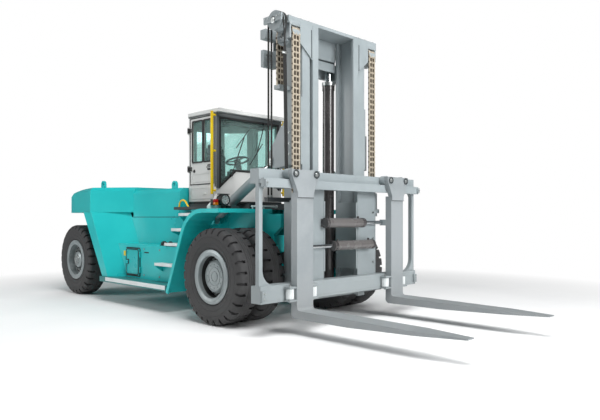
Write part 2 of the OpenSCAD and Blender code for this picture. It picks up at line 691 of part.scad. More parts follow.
// Inner mast: channels that open inwards, rollers in the outer rails, the crosshead and its sheaves
crosshead_t = 45;
inner_web = 40;
roller_x = (outer_rail_x0 + outer_rail_x1) / 2;
roller_r = outer_rail_d / 2 - rail_t - seat_gap;
cheek_t = 30;
module inner_mast() {
    web_y = inner_rail_y - inner_web;
    color(steel_grey) both_sides() {
        box([inner_rail_x0, inner_rail_x1], [web_y, inner_rail_y], [inner_z0, mast_top - crosshead_t]);
        for (x = [inner_rail_x0, inner_rail_x1 - rail_t])
            box([x, x + rail_t], [inner_rail_y - inner_rail_w, web_y], [inner_z0, mast_top - crosshead_t]);
        bar_y(roller_x, inner_z0 + 180, 60, [inner_rail_y, inner_rail_y + 10]);
        bar_y(roller_x, inner_z0 + 180, roller_r, [inner_rail_y + 8, outer_rail_y - rail_t - 5]);
        plate_xy([[inner_rail_x1 - 4, 0], [inner_rail_x1 - 4, crosshead_y], [inner_rail_x0, crosshead_y],
            [inner_rail_x0, 580], [lift_cyl_x - 80, 580], [lift_cyl_x - 80, 0]], [mast_top - crosshead_t, mast_top]);
        plate_yz([[inner_rail_y, mast_top - 530], [chain_y - chain_w / 2 - 15, mast_top - 330],
            [chain_y - chain_w / 2 - 15, mast_top - 10], [inner_rail_y, mast_top - 10]],
            [outer_rail_x1 + 6, inner_rail_x1 - 4]);
        for (y = [chain_y - chain_w / 2 - 15 - cheek_t, chain_y + chain_w / 2 + 10])
            box([sheave_x - 90, sheave_x + 90], [y, y + cheek_t], [sheave_z - 90, mast_top - crosshead_t]);
        bar_y(sheave_x, sheave_z, 35, [chain_y - chain_w / 2 - 20, chain_y + chain_w / 2 + 20]);
        bar_y(sheave_x, sheave_z, sheave_r, [chain_y - chain_w / 2 - 5, chain_y + chain_w / 2 + 5]);
        difference() {
            bar_y(sheave_x, sheave_z, sheave_r + chain_t, [chain_y - chain_w / 2, chain_y + chain_w / 2]);
            box([0, 2000], [0, 2000], [sheave_z - 400, sheave_z]);
        }
    }
    color(steel_grey) {
        box([tie_x[0], lift_cyl_x - 70], [-580, 580], [mast_top - 200, mast_top]);
        for (y = hose_cheeks)
            box([hose_sheave_x - 190, hose_sheave_x + 165], [y, y + 25], [hose_sheave_z - 30, mast_top - 5]);
        box([hose_sheave_x - 120, inner_rail_x1 - 4], [hose_cheeks[1], -crosshead_y],
            [mast_top - crosshead_t, mast_top - 5]);
        bar_y(hose_sheave_x, hose_sheave_z, 25, [hose_cheeks[0], hose_cheeks[1] + 25]);
        bar_y(hose_sheave_x, hose_sheave_z, hose_sheave_r, [-hose_y[3] - 15, -hose_y[0] + 15]);
    }
}

// Lift chains: from the sheaves down to the carriage, and down to the outer mast
chain_foot_z = 1650;
module chain(x, z) {
    color("#D8CDBA") both_sides()
        box([x, x + chain_t], [chain_y - chain_w / 2, chain_y + chain_w / 2], z);
}
module chains_front() {
    chain(chain_front_x, [chain_foot_z, sheave_z]);
}
module chains_rear() {
    chain(chain_rear_x - chain_t, [anchor_z, sheave_z]);
}

// Hoses over their sheave on the right of the crosshead
hose_r = 12;
hose_y = [1003, 1029, 1055, 1081];
hose_cheeks = [-1125, -985];
hose_sheave_r = 135;
hose_sheave_x = 850;
hose_sheave_z = mast_top - 70;
hose_x = [hose_sheave_x - hose_sheave_r - hose_r - 2, hose_sheave_x + hose_sheave_r + hose_r + 2];
hose_rear_z = 1800;
hose_front_z = 1980;
module hoses_rear() {
    color(rubber_black) for (y = hose_y)
        bar_z(hose_x[0], -y, hose_r, [hose_rear_z, hose_sheave_z]);
}
module hoses_front() {
    color(rubber_black) for (y = hose_y)
        bar_z(hose_x[1], -y, hose_r, [hose_front_z, hose_sheave_z]);
}

// Carriage: two beams and end posts that guide the forks, columns with rollers in the inner rails
beam_x = [1050, 1230];
rear_beam_x = [1030, 1200];
rear_beam_z = [1950, 2140];
bar_x_range = [1233, 1293];
post_w = 60;
post_x = [1135, 1200];
foot_curve_r = 200;
column_x = [1020, 1090];
column_y = [370, 800];
// Plates before and behind the chain's end: distance from the chain, top
anchor_plates = [[-35, 1755], [chain_t + 8, 1900]];
module carriage_frame() {
    lower_top = lower_beam_z0 + lower_beam_h;
    color(steel_grey) {
        box(beam_x, [-beam_y, beam_y], [lower_beam_z0, lower_top]);
        box(rear_beam_x, [-beam_y, beam_y], rear_beam_z);
        box(bar_x_range, [5 - beam_y, beam_y - 5], [upper_bar_z0, upper_bar_z0 + upper_bar_h]);
        box([rear_beam_x[1], bar_x_range[0]], [5 - beam_y, beam_y - 5], [rear_beam_z[0], rear_beam_z[0] + 55]);
        both_sides() {
            box(post_x, [beam_y - post_w, beam_y], [lower_top, rear_beam_z[0]]);
            plate_yz(concat([[beam_y - post_w, lower_top]],
                arc([beam_y - post_w - foot_curve_r, lower_top + foot_curve_r], foot_curve_r, 0, -90, 8)), post_x);
            plate_yz([[beam_y - post_w, rear_beam_z[0]], [beam_y - post_w - 70, rear_beam_z[0]],
                [beam_y - post_w, rear_beam_z[0] - 90]], post_x);
        }
        box([rear_beam_x[0] - 55, rear_beam_x[0]], [-hose_y[3] - 20, 20 - hose_y[0]], [hose_front_z - 25, hose_front_z]);
    }
}
module carriage_columns() {
    lower_top = lower_beam_z0 + lower_beam_h;
    c_roller_x = (inner_rail_x0 + inner_rail_x1) / 2;
    c_roller_r = (inner_rail_x1 - inner_rail_x0) / 2 - rail_t - seat_gap;
    bracket_y = inner_rail_y - inner_rail_w - 5;
    color(steel_grey) both_sides() {
        box(column_x, column_y, [lower_top, rear_beam_z[0]]);
        box([700, column_x[1]], [bracket_y - 40, bracket_y], [760, 1750]);
        for (z = [910, 1600])
            bar_y(c_roller_x, z, c_roller_r, [bracket_y, inner_rail_y - inner_web - 8]);
        for (a = anchor_plates)
            box([chain_front_x + a[0], chain_front_x + a[0] + 28], [chain_y - chain_w / 2, chain_y + chain_w / 2],
                [1540, a[1]]);
        box([chain_front_x - 35, column_x[1]], [chain_y - chain_w / 2, chain_y + chain_w / 2],
            [chain_foot_z - 60, chain_foot_z]);
    }
}

// Fork positioners: side, height, low and high end of the barrel, inner end of the rod, brackets, in left-hand y
positioners = [[LEFT, 1445, -430, 415, 0, [-430, 372]], [RIGHT, 1120, -635, 270, -300, [-635, -420]]];
positioner_x = 1165;
positioner_r = 70;
positioner_rod_r = 28;
module positioner_barrels() {
    color(dark_grey) for (p = positioners) on_side(p[0]) difference() {
        union() {
            bar_y(positioner_x, p[1], positioner_r, [p[2], p[3]]);
            for (y = p[5])
                box([column_x[1], positioner_x], [y, y + 38], [p[1] - 60, p[1] + 60]);
        }
        bar_y(positioner_x, p[1], positioner_rod_r + fit_gap, [p[2] + 30, p[3] + 1]);
    }
}

// Fork: shank, heel and tapering blade, hung from the upper bar by a plate
shank_x = fork_front_x - fork_t;
hanger_x = [bar_x_range[1] + 7, 1372];
hanger_z = [1845, 2140];
hang_roller_r = 70;
hang_roller_z = upper_bar_z0 + upper_bar_h + seat_gap + hang_roller_r;
hang_pin_r = 25;
hang_pin_dy = 190;
fork_side = concat(arc([shank_x + 60, fork_z - fork_t + 60], 60, 180, 270, 6),
    [[2200, fork_z - fork_t + 2], [front_reach - 30, fork_z - 52], [front_reach, fork_z - 48],
        [front_reach, fork_z - 35], [fork_front_x + 40, fork_z]],
    arc([fork_front_x + 40, fork_z + 40], 40, 270, 180, 4), [[fork_front_x, hanger_z[0]], [shank_x, hanger_z[0]]]);
module fork() {
    w = fork_w / 2;
    color(steel_grey) difference() {
        union() {
            intersection() {
                plate_xz(fork_side, [fork_y - w, fork_y + w]);
                plate_xy([[0, fork_y - w], [front_reach - 600, fork_y - w], [front_reach + 1, fork_y - w + 90],
                    [front_reach + 1, fork_y + w - 90], [front_reach - 600, fork_y + w], [0, fork_y + w]], [0, 3000]);
            }
            plate_yz([[fork_y - w, hanger_z[0] - 65], [fork_y + w, hanger_z[0] - 65], [fork_y + w, hanger_z[0]],
                [fork_y + 260, hanger_z[1] - 60], [fork_y + 260, hanger_z[1]], [fork_y - 260, hanger_z[1]],
                [fork_y - 260, hanger_z[1] - 60], [fork_y - w, hanger_z[0]]], hanger_x);
        }
        for (dy = [-hang_pin_dy, hang_pin_dy])
            bar_x(fork_y + dy, hang_roller_z, hang_pin_r + seat_gap, [hanger_x[0] - 1, hanger_x[1] + 1]);
    }
}

// Rollers that carry and guide a fork, and the rod of its positioner
guide_r = 55;
module fork_fittings(p) {
    w = fork_w / 2;
    color(chrome_white) {
        for (dy = [-hang_pin_dy, hang_pin_dy]) {
            bar_x(fork_y + dy, hang_roller_z, hang_roller_r, [rear_beam_x[1] + 5, hanger_x[0] - 2]);
            bar_x(fork_y + dy, hang_roller_z, hang_pin_r, [hanger_x[0] - 3, hanger_x[1] + 12]);
            bar_x(fork_y + dy, hang_roller_z, hang_pin_r + 20, [hanger_x[1], hanger_x[1] + 12]);
        }
        for (s = [-1, 1]) translate([0, fork_y + s * (w + guide_r + 7), 0]) {
            bar_z(beam_x[1] + seat_gap + guide_r, 0, guide_r, [465, 605]);
            bar_z(beam_x[1] + seat_gap + guide_r, 0, 15, [440, 630]);
            for (z = [440, 608])
                box([shank_x + 5, fork_front_x - 5], [-guide_r - 7, guide_r + 7], [z, z + 22]);
        }
        bar_y(positioner_x, p[1], positioner_rod_r, [p[4], fork_y - w + 40]);
        box([positioner_x - 35, shank_x], [fork_y - w, fork_y - w + 50], [p[1] - 45, p[1] + 45]);
    }
}

// Tilt cylinders, drawn along x from their base pin and raised to their slope
tilt_base_r = 45;
tilt_barrel_end = 1150;
tilt_neck = 160;
module along_tilt() {
    both_sides() translate([tilt_base[0], 0, tilt_base[1]]) rotate([0, -tilt_angle, 0]) children();
}
module tilt_barrels() {
    color(steel_grey) along_tilt() difference() {
        union() {
            bar_x(tilt_y, 0, 42, [40, tilt_neck]);
            bar_x(tilt_y, 0, tilt_barrel_r, [tilt_neck, tilt_barrel_end]);
            bar_y(0, 0, tilt_barrel_r + 5, [tilt_y - 45, tilt_y + 45]);
            bar_y(0, 0, tilt_base_r, [tilt_y - 80, tilt_y + 80]);
        }
        bar_x(tilt_y, 0, tilt_rod_r + fit_gap, [400, tilt_barrel_end + 1]);
    }
}
module tilt_rods() {
    color(chrome_white) along_tilt() difference() {
        union() {
            bar_x(tilt_y, 0, tilt_rod_r, [750, tilt_len - tilt_neck - 30]);
            bar_x(tilt_y, 0, rod_eye_w / 2 - 3, [tilt_len - tilt_neck - 30, tilt_len - 60]);
            bar_y(tilt_len, 0, tilt_barrel_r, [tilt_y - rod_eye_w / 2, tilt_y + rod_eye_w / 2]);
        }
        bar_y(tilt_len, 0, tilt_pin_r + 9, [tilt_y - rod_eye_w, tilt_y + rod_eye_w]);
    }
}

// Cab: a tub on the deck and a glazed upper part with chamfered rear corners over the hood
deck_z1 = fender_z + deck_t;
cab_x1 = -cab_front;
cab_x0 = cab_x1 - cab_side;
cab_xr = cab_x0 - cab_rear;
chamfer_y = 420;
cab_floor = 40;
sill_z = hood_z1 + 20;
door_x1 = cab_x1 - 40;
door_x0 = door_x1 - door_l;
chamfer_angle = atan2(chamfer_y, cab_rear);
chamfer_mid = [(cab_x0 + cab_xr) / 2, cab_y - chamfer_y / 2];
glass_z = [2300, 3100];
rear_glass_y = 230;
chamfer_glass = 220;
front_glass = [[640, 2010], [640, 3150], [-640, 3150], [-640, 2010], [-300, 2300], [300, 2300]];
door_hinge = [door_x0 - 12, cab_y + 20];
door_hinge_z = [2300, 2950];
knuckle_len = 80;
door_pin_r = 10;
cab_half = [[cab_x1, cab_y], [cab_x0, cab_y], [cab_xr, cab_y - chamfer_y]];
cab_inner = [[cab_x1 - cab_wall, cab_y - cab_wall], [cab_x0 + cab_wall / 3, cab_y - cab_wall],
    [cab_xr + cab_wall, cab_y - chamfer_y - cab_wall / 3]];

// Draws its children along a chamfered rear corner, with the corner's middle as origin
module on_chamfer() {
    both_sides() translate([chamfer_mid[0], chamfer_mid[1], 0]) rotate([0, 0, chamfer_angle]) children();
}

module cab_body() {
    reach = cab_wall + 10;
    color("#B5B7B5") difference() {
        union() {
            plate_xy(mirrored(cab_half), [sill_z, cab_z1]);
            box([cab_x0, cab_x1], [-cab_y, cab_y], [deck_z1, sill_z + 1]);
        }
        plate_xy(mirrored(cab_inner), [sill_z + cab_floor, cab_z1 + 1]);
        box([cab_x0 + cab_wall, cab_x1 - cab_wall], [cab_wall - cab_y, cab_y - cab_wall],
            [deck_z1 + cab_floor, cab_z1 + 1]);
        plate_yz(front_glass, [cab_x1 - reach, cab_x1 + 10]);
        both_sides() box([door_x0, door_x1], [cab_y - reach, cab_y + 10], [door_z0, door_z1]);
        on_chamfer() box([-chamfer_glass, chamfer_glass], [-2 * reach, reach], glass_z);
        box([cab_xr - 10, cab_xr + reach], [-rear_glass_y, rear_glass_y], glass_z);
    }
    color("#B5B7B5") both_sides() for (z = door_hinge_z) {
        bar_z(door_hinge[0], door_hinge[1], door_pin_r, [z - 20, z + knuckle_len + 20]);
        for (dz = [-20, knuckle_len + 2])
            box([door_hinge[0] - 14, door_hinge[0] + 11], [cab_y - 1, door_hinge[1] + 14], [z + dz, z + dz + 18]);
    }
}

// Door: frame round two panes, hinged at its rear edge
door_t = 55;
pane_x = [[door_x0 + 80, door_x0 + 360], [door_x0 + 400, door_x1 - 80]];
pane_z = [2450, 3130];
module cab_door() {
    x = [door_x0 + door_gap, door_x1 - door_gap];
    color("#B5B7B5") difference() {
        union() {
            box(x, [cab_y - door_t, cab_y], [door_z0 + door_gap, door_z1 - door_gap]);
            for (z = door_hinge_z) {
                bar_z(door_hinge[0], door_hinge[1], 2 * door_pin_r, [z, z + knuckle_len]);
                box([door_hinge[0], x[0] + 70], [cab_y + 2, cab_y + 14], [z, z + knuckle_len]);
                box([x[0], x[0] + 70], [cab_y - 10, cab_y + 14], [z, z + knuckle_len]);
            }
            box([x[1] - 150, x[1] - 40], [cab_y - 10, cab_y + 35], [2330, 2365]);
        }
        for (p = pane_x)
            box(p, [cab_y - door_t - 1, cab_y + 1], pane_z);
        for (z = door_hinge_z)
            bar_z(door_hinge[0], door_hinge[1], door_pin_r + fit_gap, [z - 1, z + knuckle_len + 1]);
    }
}
glass_t = 8;
module door_glass() {
    color("#2E4044", 0.4) for (p = pane_x)
        box(p, [cab_y - door_t / 2, cab_y - door_t / 2 + glass_t], pane_z);
}
module cab_windows() {
    color("#2E4044", 0.4) {
        plate_yz(front_glass, [cab_x1 - 40, cab_x1 - 40 + glass_t]);
        on_chamfer() box([-chamfer_glass, chamfer_glass], [-30, -30 + glass_t], glass_z);
        box([cab_xr + 20, cab_xr + 20 + glass_t], [-rear_glass_y, rear_glass_y], glass_z);
    }
}
module cab_roof() {
    rim = [[cab_x1 + 80, cab_y + 12], [cab_x0 - 10, cab_y + 12], [cab_xr - 30, cab_y - chamfer_y + 10]];
    crown = [[cab_x1 - 80, cab_y - 100], [cab_x0 - 60, cab_y - 100], [cab_xr + 100, cab_y - chamfer_y - 60]];
    color("#B5B7B5") loft([mirrored(rim), mirrored(rim), mirrored(crown)], [cab_z1, cab_z1 + 60, cab_z1 + 105]);
}

// Driver's seat on its pedestal
module seat() {
    color(dark_grey) {
        box([cab_x0 + cab_wall + 20, -1450], [-200, 200], [deck_z1 + cab_floor, 2125]);
        box([-1930, -1420], [-260, 260], [2120, 2250]);
        box([-2010, -1900], [-250, 250], [2245, 2850]);
    }
}

// Dashboard, steering column and steering wheel
column_foot = [-1110, deck_z1 + cab_floor];
column_len = 720;
column_lean = 16;
steering_r = 190;
module console() {
    color(dark_grey) {
        box([cab_x1 - cab_wall - 90, cab_x1 - cab_wall], [-380, 380], [deck_z1 + cab_floor, 2290]);
        box([column_foot[0] - 75, column_foot[0] + 75], [-75, 75], [column_foot[1], column_foot[1] + 60]);
        translate([column_foot[0], 0, column_foot[1] + 20]) rotate([0, -column_lean, 0]) {
            cylinder(r = 55, h = column_len);
            translate([0, 0, column_len - 10]) {
                cylinder(r = 60, h = 40);
                translate([0, 0, 20]) rotate_extrude() translate([steering_r, 0]) circle(r = 17);
                for (a = [0, 120, 240])
                    rotate([0, 0, a]) box([40, steering_r], [-16, 16], [12, 28]);
            }
        }
    }
}

// Grab rails beside the front corners of the cab
rail_r = 24;
rail_x = cab_x1 - 15;
rail_y = cab_y + 70;
module grab_rails() {
    color("#F5D31B") both_sides() {
        bar_z(rail_x, rail_y, rail_r, [1900, 3240]);
        for (z = [1960, 2600, 3180])
            bar_y(rail_x, z, rail_r - 6, [cab_y, rail_y]);
    }
}

// Headlamps on the fenders, and the lenses of the head and tail lamps
lamp_y = 1100;
lamp_z = 1785;
lamp_r = 82;
lamp_x = [-335, -225];
tail_y = [640, 800];
tail_z = [1720, 1790];
tail_depth = 40;
module headlamps() {
    color(chrome_white) both_sides() difference() {
        union() {
            bar_x(lamp_y, lamp_z, lamp_r, lamp_x);
            box([lamp_x[1] - 70, lamp_x[1] - 10], [lamp_y - 25, lamp_y + 25], [fender_z, lamp_z - lamp_r + 20]);
        }
        bar_x(lamp_y, lamp_z, lamp_r - 10, [lamp_x[1] - 40, lamp_x[1] + 1]);
    }
}
module lamp_lenses() {
    color("#F4F1E4") both_sides() {
        bar_x(lamp_y, lamp_z, lamp_r - 10 - seat_gap, [lamp_x[1] - 40, lamp_x[1] - 8]);
        box([weight_rear_x + 2, weight_rear_x + tail_depth], tail_y, tail_z);
    }
}

// Places the truck with its middle over the origin
module placed() {
    translate([front_axle_x, 0, 0]) children();
}

placed() frame();
placed() belly_plate();
placed() counterweight();
placed() arch_panels();
placed() hood();
placed() engine();
placed() side_boxes();
placed() running_boards();
placed() steps();
placed() fenders();
placed() deck();
placed() cab_body();
placed() cab_roof();
placed() cab_windows();
placed() seat();
placed() console();
placed() grab_rails();
placed() headlamps();
placed() lamp_lenses();
placed() rear_grille();
placed() drive_axle();
placed() steer_axle();
placed() on_side(RIGHT) knuckle();  // knuckle_right
placed() on_side(LEFT) knuckle();  // knuckle_left
placed() on_side(RIGHT) tyres_front();  // tyres_front_right
placed() on_side(LEFT) tyres_front();  // tyres_front_left
placed() on_side(RIGHT) rims_front();  // rims_front_right
placed() on_side(LEFT) rims_front();  // rims_front_left
placed() on_side(RIGHT) tyre_rear();  // tyre_rear_right
placed() on_side(LEFT) tyre_rear();  // tyre_rear_left
placed() on_side(RIGHT) rim_rear();  // rim_rear_right
placed() on_side(LEFT) rim_rear();  // rim_rear_left
placed() outer_mast();
placed() tilt_brackets();
placed() hose_bracket();
placed() lift_barrels();
placed() chains_rear();
placed() hoses_rear();
placed() inner_mast();
placed() lift_rods();
placed() chains_front();
placed() hoses_front();
placed() carriage_frame();
placed() carriage_columns();
placed() positioner_barrels();
placed() on_side(RIGHT) fork();  // fork_right
placed() on_side(LEFT) fork();  // fork_left
placed() on_side(RIGHT) fork_fittings(positioners[1]);  // fork_fittings_right
placed() on_side(LEFT) fork_fittings(positioners[0]);  // fork_fittings_left
placed() tilt_barrels();
placed() tilt_rods();
placed() on_side(RIGHT) cab_door();  // cab_door_right
placed() on_side(LEFT) cab_door();  // cab_door_left
placed() on_side(RIGHT) door_glass();  // door_glass_right
placed() on_side(LEFT) door_glass();  // door_glass_left
placed() box_door();
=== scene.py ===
"""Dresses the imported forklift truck: finishes, tyres, chains, cab fittings, lamps and the studio round it."""

import logging
import math
from dataclasses import dataclass
from enum import Enum
from typing import ClassVar, Iterable, Sequence

import bmesh
import bpy
from bmesh.types import BMesh, BMFace, BMVert
from mathutils import Matrix, Vector


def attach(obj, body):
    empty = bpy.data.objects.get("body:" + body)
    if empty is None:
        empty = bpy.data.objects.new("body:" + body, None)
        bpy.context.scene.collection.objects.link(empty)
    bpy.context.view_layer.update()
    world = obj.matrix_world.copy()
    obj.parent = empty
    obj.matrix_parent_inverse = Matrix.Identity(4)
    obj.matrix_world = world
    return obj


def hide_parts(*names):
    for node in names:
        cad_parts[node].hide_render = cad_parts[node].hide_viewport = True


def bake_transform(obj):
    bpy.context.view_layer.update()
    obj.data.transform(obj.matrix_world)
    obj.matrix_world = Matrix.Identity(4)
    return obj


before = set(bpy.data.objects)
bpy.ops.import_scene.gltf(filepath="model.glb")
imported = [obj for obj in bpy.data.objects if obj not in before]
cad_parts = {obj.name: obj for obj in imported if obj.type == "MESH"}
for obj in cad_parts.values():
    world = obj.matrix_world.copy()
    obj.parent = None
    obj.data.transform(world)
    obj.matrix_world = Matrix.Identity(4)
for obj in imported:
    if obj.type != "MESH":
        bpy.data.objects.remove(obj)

LOG = logging.getLogger("forklift")
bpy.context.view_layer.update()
# pieces are placed from the front axle's middle on the ground, which has this x in the frame
FRONT_AXLE_X = 1.029
REAR_AXLE_X = -4.78
AXLE_Z = 0.685
CHAIN_SHEAVE = (0.84, 4.03)
SIDES = {"right": -1.0, "left": 1.0}
Point = tuple[float, float, float]
Pair = tuple[float, float]
Box = tuple[Pair, Pair, Pair]


def linear(code: str, alpha: float = 1.0) -> tuple[float, float, float, float]:
    """Turns an sRGB hex colour to linear light.

    Args:
        code: Six hex digits after a hash.
        alpha: The fourth value.

    Returns:
        Red, green, blue and alpha.
    """
    parts = [int(code[i:i + 2], 16) / 255 for i in (1, 3, 5)]
    r, g, b = [c / 12.92 if c <= 0.04045 else ((c + 0.055) / 1.055) ** 2.4 for c in parts]
    return r, g, b, alpha


def add_node(tree: bpy.types.NodeTree, kind: str, links: dict | None = None, **settings) -> bpy.types.Node:
    """Adds a shader node with its settings, values and links.

    Args:
        tree: The material's tree.
        kind: The node's type.
        links: Sockets by name or number, each with a value or with another node's output.
        settings: Properties of the node.

    Returns:
        The new node.
    """
    node = tree.nodes.new(kind)
    for key, value in settings.items():
        setattr(node, key, value)
    for key, value in (links or {}).items():
        if isinstance(value, bpy.types.NodeSocket):
            tree.links.new(value, node.inputs[key])
        else:
            node.inputs[key].default_value = value
    return node


class Pattern(Enum):
    """What a finish shows on top of its plain colour."""

    CLOUD = "soft patches"
    WEAVE = "crossed threads"
    STUDS = "raised diamonds"
    HOLES = "rows of punched holes"
    BRUSH = "fine lines along the piece"


@dataclass(frozen=True)
class Finish:
    """One material: what it is made of and how its surface was made."""

    name: str
    colour: str
    second: str
    roughness: float
    metallic: float = 0.0
    patch_mm: float = 300.0
    grain_mm: float = 3.0
    bump: float = 0.05
    coat: float = 0.0
    edge_mm: float = 0.0
    pattern: Pattern = Pattern.CLOUD
    pitch_mm: float = 30.0
    sheen: float = 0.0
    dust: str = ""
    COAT_ROUGHNESS: ClassVar[float] = 0.12
    TONE_STOPS: ClassVar[Pair] = (0.34, 0.6)
    ROUGHNESS_SWING: ClassVar[float] = 0.08
    RELIEF: ClassVar[float] = 0.004
    DUST_Z: ClassVar[Pair] = (1.1, 0.1)
    DUST_MOST: ClassVar[float] = 0.42

    def build(self) -> bpy.types.Material:
        """Makes the material's nodes.

        Returns:
            The new material.
        """
        material = bpy.data.materials.new(self.name)
        material.use_nodes = True
        material.diffuse_color = linear(self.colour)
        tree = material.node_tree
        shader = tree.nodes["Principled BSDF"]
        shader.inputs["Metallic"].default_value = self.metallic
        shader.inputs["Coat Weight"].default_value = self.coat
        shader.inputs["Coat Roughness"].default_value = self.COAT_ROUGHNESS
        shader.inputs["Sheen Weight"].default_value = self.sheen
        place = add_node(tree, "ShaderNodeTexCoord").outputs["Object"]
        cloud = add_node(tree, "ShaderNodeTexNoise", {"Vector": place, "Scale": 1000 / self.patch_mm,
                                                      "Detail": 5.0, "Roughness": 0.6})
        grain = add_node(tree, "ShaderNodeTexNoise",
                         {"Vector": place, "Scale": 1000 / self.grain_mm, "Detail": 3.0})
        tone = add_node(tree, "ShaderNodeValToRGB", {"Fac": cloud.outputs["Fac"]})
        for stop, at, code in zip(tone.color_ramp.elements, self.TONE_STOPS, (self.second, self.colour)):
            stop.position = at
            stop.color = linear(code)
        colour = tone.outputs["Color"]
        height = grain.outputs["Fac"]
        # on studs, holes and weave the low parts are darkened to 0.45: painted shade in the recesses; on
        # brushed chrome the 0.8 marks are streaks in the metal
        if self.pattern is not Pattern.CLOUD:
            mark = self.marks(tree, place)
            dark = 0.8 if self.pattern is Pattern.BRUSH else 0.45
            recess_shade_and_streaks = add_node(tree, "ShaderNodeMapRange", {"Value": mark, "To Min": dark, "To Max": 1.0})
            colour = add_node(tree, "ShaderNodeMix", {0: 1.0, 6: colour, 7: recess_shade_and_streaks.outputs["Result"]},
                              data_type="RGBA", blend_type="MULTIPLY").outputs[2]
            height = add_node(tree, "ShaderNodeMath", {0: mark, 1: grain.outputs["Fac"]},
                              operation="ADD").outputs[0]
        if self.dust:
            colour = self.dusted(tree, place, cloud.outputs["Fac"], colour)
        smoothest = max(0.02, self.roughness - self.ROUGHNESS_SWING)
        roughest = min(1.0, self.roughness + self.ROUGHNESS_SWING)
        rough = add_node(tree, "ShaderNodeMapRange",
                         {"Value": cloud.outputs["Fac"], "From Min": 0.3, "From Max": 0.7,
                          "To Min": smoothest, "To Max": roughest})
        relief = add_node(tree, "ShaderNodeBump", {"Height": height, "Strength": self.bump,
                                                   "Distance": self.RELIEF})
        if self.edge_mm:
            edge = add_node(tree, "ShaderNodeBevel", {"Radius": self.edge_mm / 1000}, samples=4)
            tree.links.new(edge.outputs["Normal"], relief.inputs["Normal"])
        tree.links.new(colour, shader.inputs["Base Color"])
        tree.links.new(rough.outputs["Result"], shader.inputs["Roughness"])
        tree.links.new(relief.outputs["Normal"], shader.inputs["Normal"])
        return material

    def marks(self, tree: bpy.types.NodeTree, place: bpy.types.NodeSocket) -> bpy.types.NodeSocket:
        """Draws the pattern as a mask.

        Args:
            tree: The material's tree.
            place: Object coordinates.

        Returns:
            A value that is 1 on the raised part.
        """
        # a wave texture repeats every pi / (10 x scale) metres
        waves = 1000 * math.pi / self.pitch_mm / 10
        if self.pattern is Pattern.BRUSH:
            stretch = add_node(tree, "ShaderNodeMapping", {"Vector": place, "Scale": (40.0, 40.0, 2.0)})
            return add_node(tree, "ShaderNodeTexNoise",
                            {"Vector": stretch.outputs[0], "Scale": 6.0}).outputs["Fac"]
        turn = (0.0, 0.0, math.pi / 4) if self.pattern is Pattern.STUDS else (0.0, 0.0, 0.0)
        grid = add_node(tree, "ShaderNodeMapping", {"Vector": place, "Rotation": turn})
        lines = [add_node(tree, "ShaderNodeTexWave", {"Vector": grid.outputs[0], "Scale": waves},
                          bands_direction=axis, wave_profile="SIN").outputs["Fac"] for axis in ("X", "Y")]
        if self.pattern is Pattern.WEAVE:
            lines.append(add_node(tree, "ShaderNodeTexWave", {"Vector": grid.outputs[0], "Scale": waves},
                                  bands_direction="Z").outputs["Fac"])
            total = add_node(tree, "ShaderNodeMath", {0: lines[0], 1: lines[1]}, operation="MULTIPLY")
            return add_node(tree, "ShaderNodeMath", {0: total.outputs[0], 1: lines[2]},
                            operation="MAXIMUM").outputs[0]
        both = add_node(tree, "ShaderNodeMath", {0: lines[0], 1: lines[1]}, operation="MULTIPLY").outputs[0]
        low, high = (0.5, 0.6) if self.pattern is Pattern.STUDS else (0.75, 0.62)
        return add_node(tree, "ShaderNodeMapRange",
                        {"Value": both, "From Min": low, "From Max": high}).outputs[0]

    def dusted(self, tree: bpy.types.NodeTree, place: bpy.types.NodeSocket, cloud: bpy.types.NodeSocket,
               colour: bpy.types.NodeSocket) -> bpy.types.NodeSocket:
        """Lays a film of road dust near the ground.

        Args:
            tree: The material's tree.
            place: Object coordinates.
            cloud: A soft noise that breaks the film up.
            colour: The clean colour.

        Returns:
            The dusted colour.
        """
        axes = add_node(tree, "ShaderNodeSeparateXYZ", {0: place})
        low = add_node(tree, "ShaderNodeMapRange",
                       {"Value": axes.outputs["Z"], "From Min": self.DUST_Z[0], "From Max": self.DUST_Z[1],
                        "To Min": 0.0, "To Max": self.DUST_MOST})
        film = add_node(tree, "ShaderNodeMath", {0: low.outputs["Result"], 1: cloud}, operation="MULTIPLY")
        return add_node(tree, "ShaderNodeMix", {0: film.outputs[0], 6: colour, 7: linear(self.dust)},
                        data_type="RGBA").outputs[2]


class Tint(Enum):
    """Clear finishes."""

    CAB = "green_tinted_cab_glass"
    LAMP = "ribbed_lamp_glass"
    RED = "red_lens_acrylic"
    AMBER = "amber_lens_acrylic"


@dataclass(frozen=True)
class ClearFinish:
    """A see-through material with a tint, a faint ripple and a thin film of dust."""

    tint: Tint
    colour: str
    roughness: float
    clear: float
    ripple_mm: float

    def build(self) -> bpy.types.Material:
        """Makes the material's nodes.

        Returns:
            The new material.
        """
        material = bpy.data.materials.new(self.tint.value)
        material.use_nodes = True
        material.diffuse_color = linear(self.colour, 0.4)
        tree = material.node_tree
        shader = tree.nodes["Principled BSDF"]
        shader.inputs["IOR"].default_value = 1.5
        shader.inputs["Transmission Weight"].default_value = self.clear
        place = add_node(tree, "ShaderNodeTexCoord").outputs["Object"]
        film = add_node(tree, "ShaderNodeTexNoise", {"Vector": place, "Scale": 2.5, "Detail": 4.0})
        ripple = add_node(tree, "ShaderNodeTexNoise", {"Vector": place, "Scale": 1000 / self.ripple_mm})
        tone = add_node(tree, "ShaderNodeMix", {0: film.outputs["Fac"], 6: linear(self.colour),
                                                7: [min(1.0, c * 1.25) for c in linear(self.colour)]},
                        data_type="RGBA")
        rough = add_node(tree, "ShaderNodeMapRange", {"Value": film.outputs["Fac"], "To Min": self.roughness,
                                                      "To Max": self.roughness + 0.05})
        relief = add_node(tree, "ShaderNodeBump", {"Height": ripple.outputs["Fac"], "Strength": 0.03,
                                                   "Distance": 0.002})
        tree.links.new(tone.outputs[2], shader.inputs["Base Color"])
        tree.links.new(rough.outputs["Result"], shader.inputs["Roughness"])
        tree.links.new(relief.outputs["Normal"], shader.inputs["Normal"])
        return material


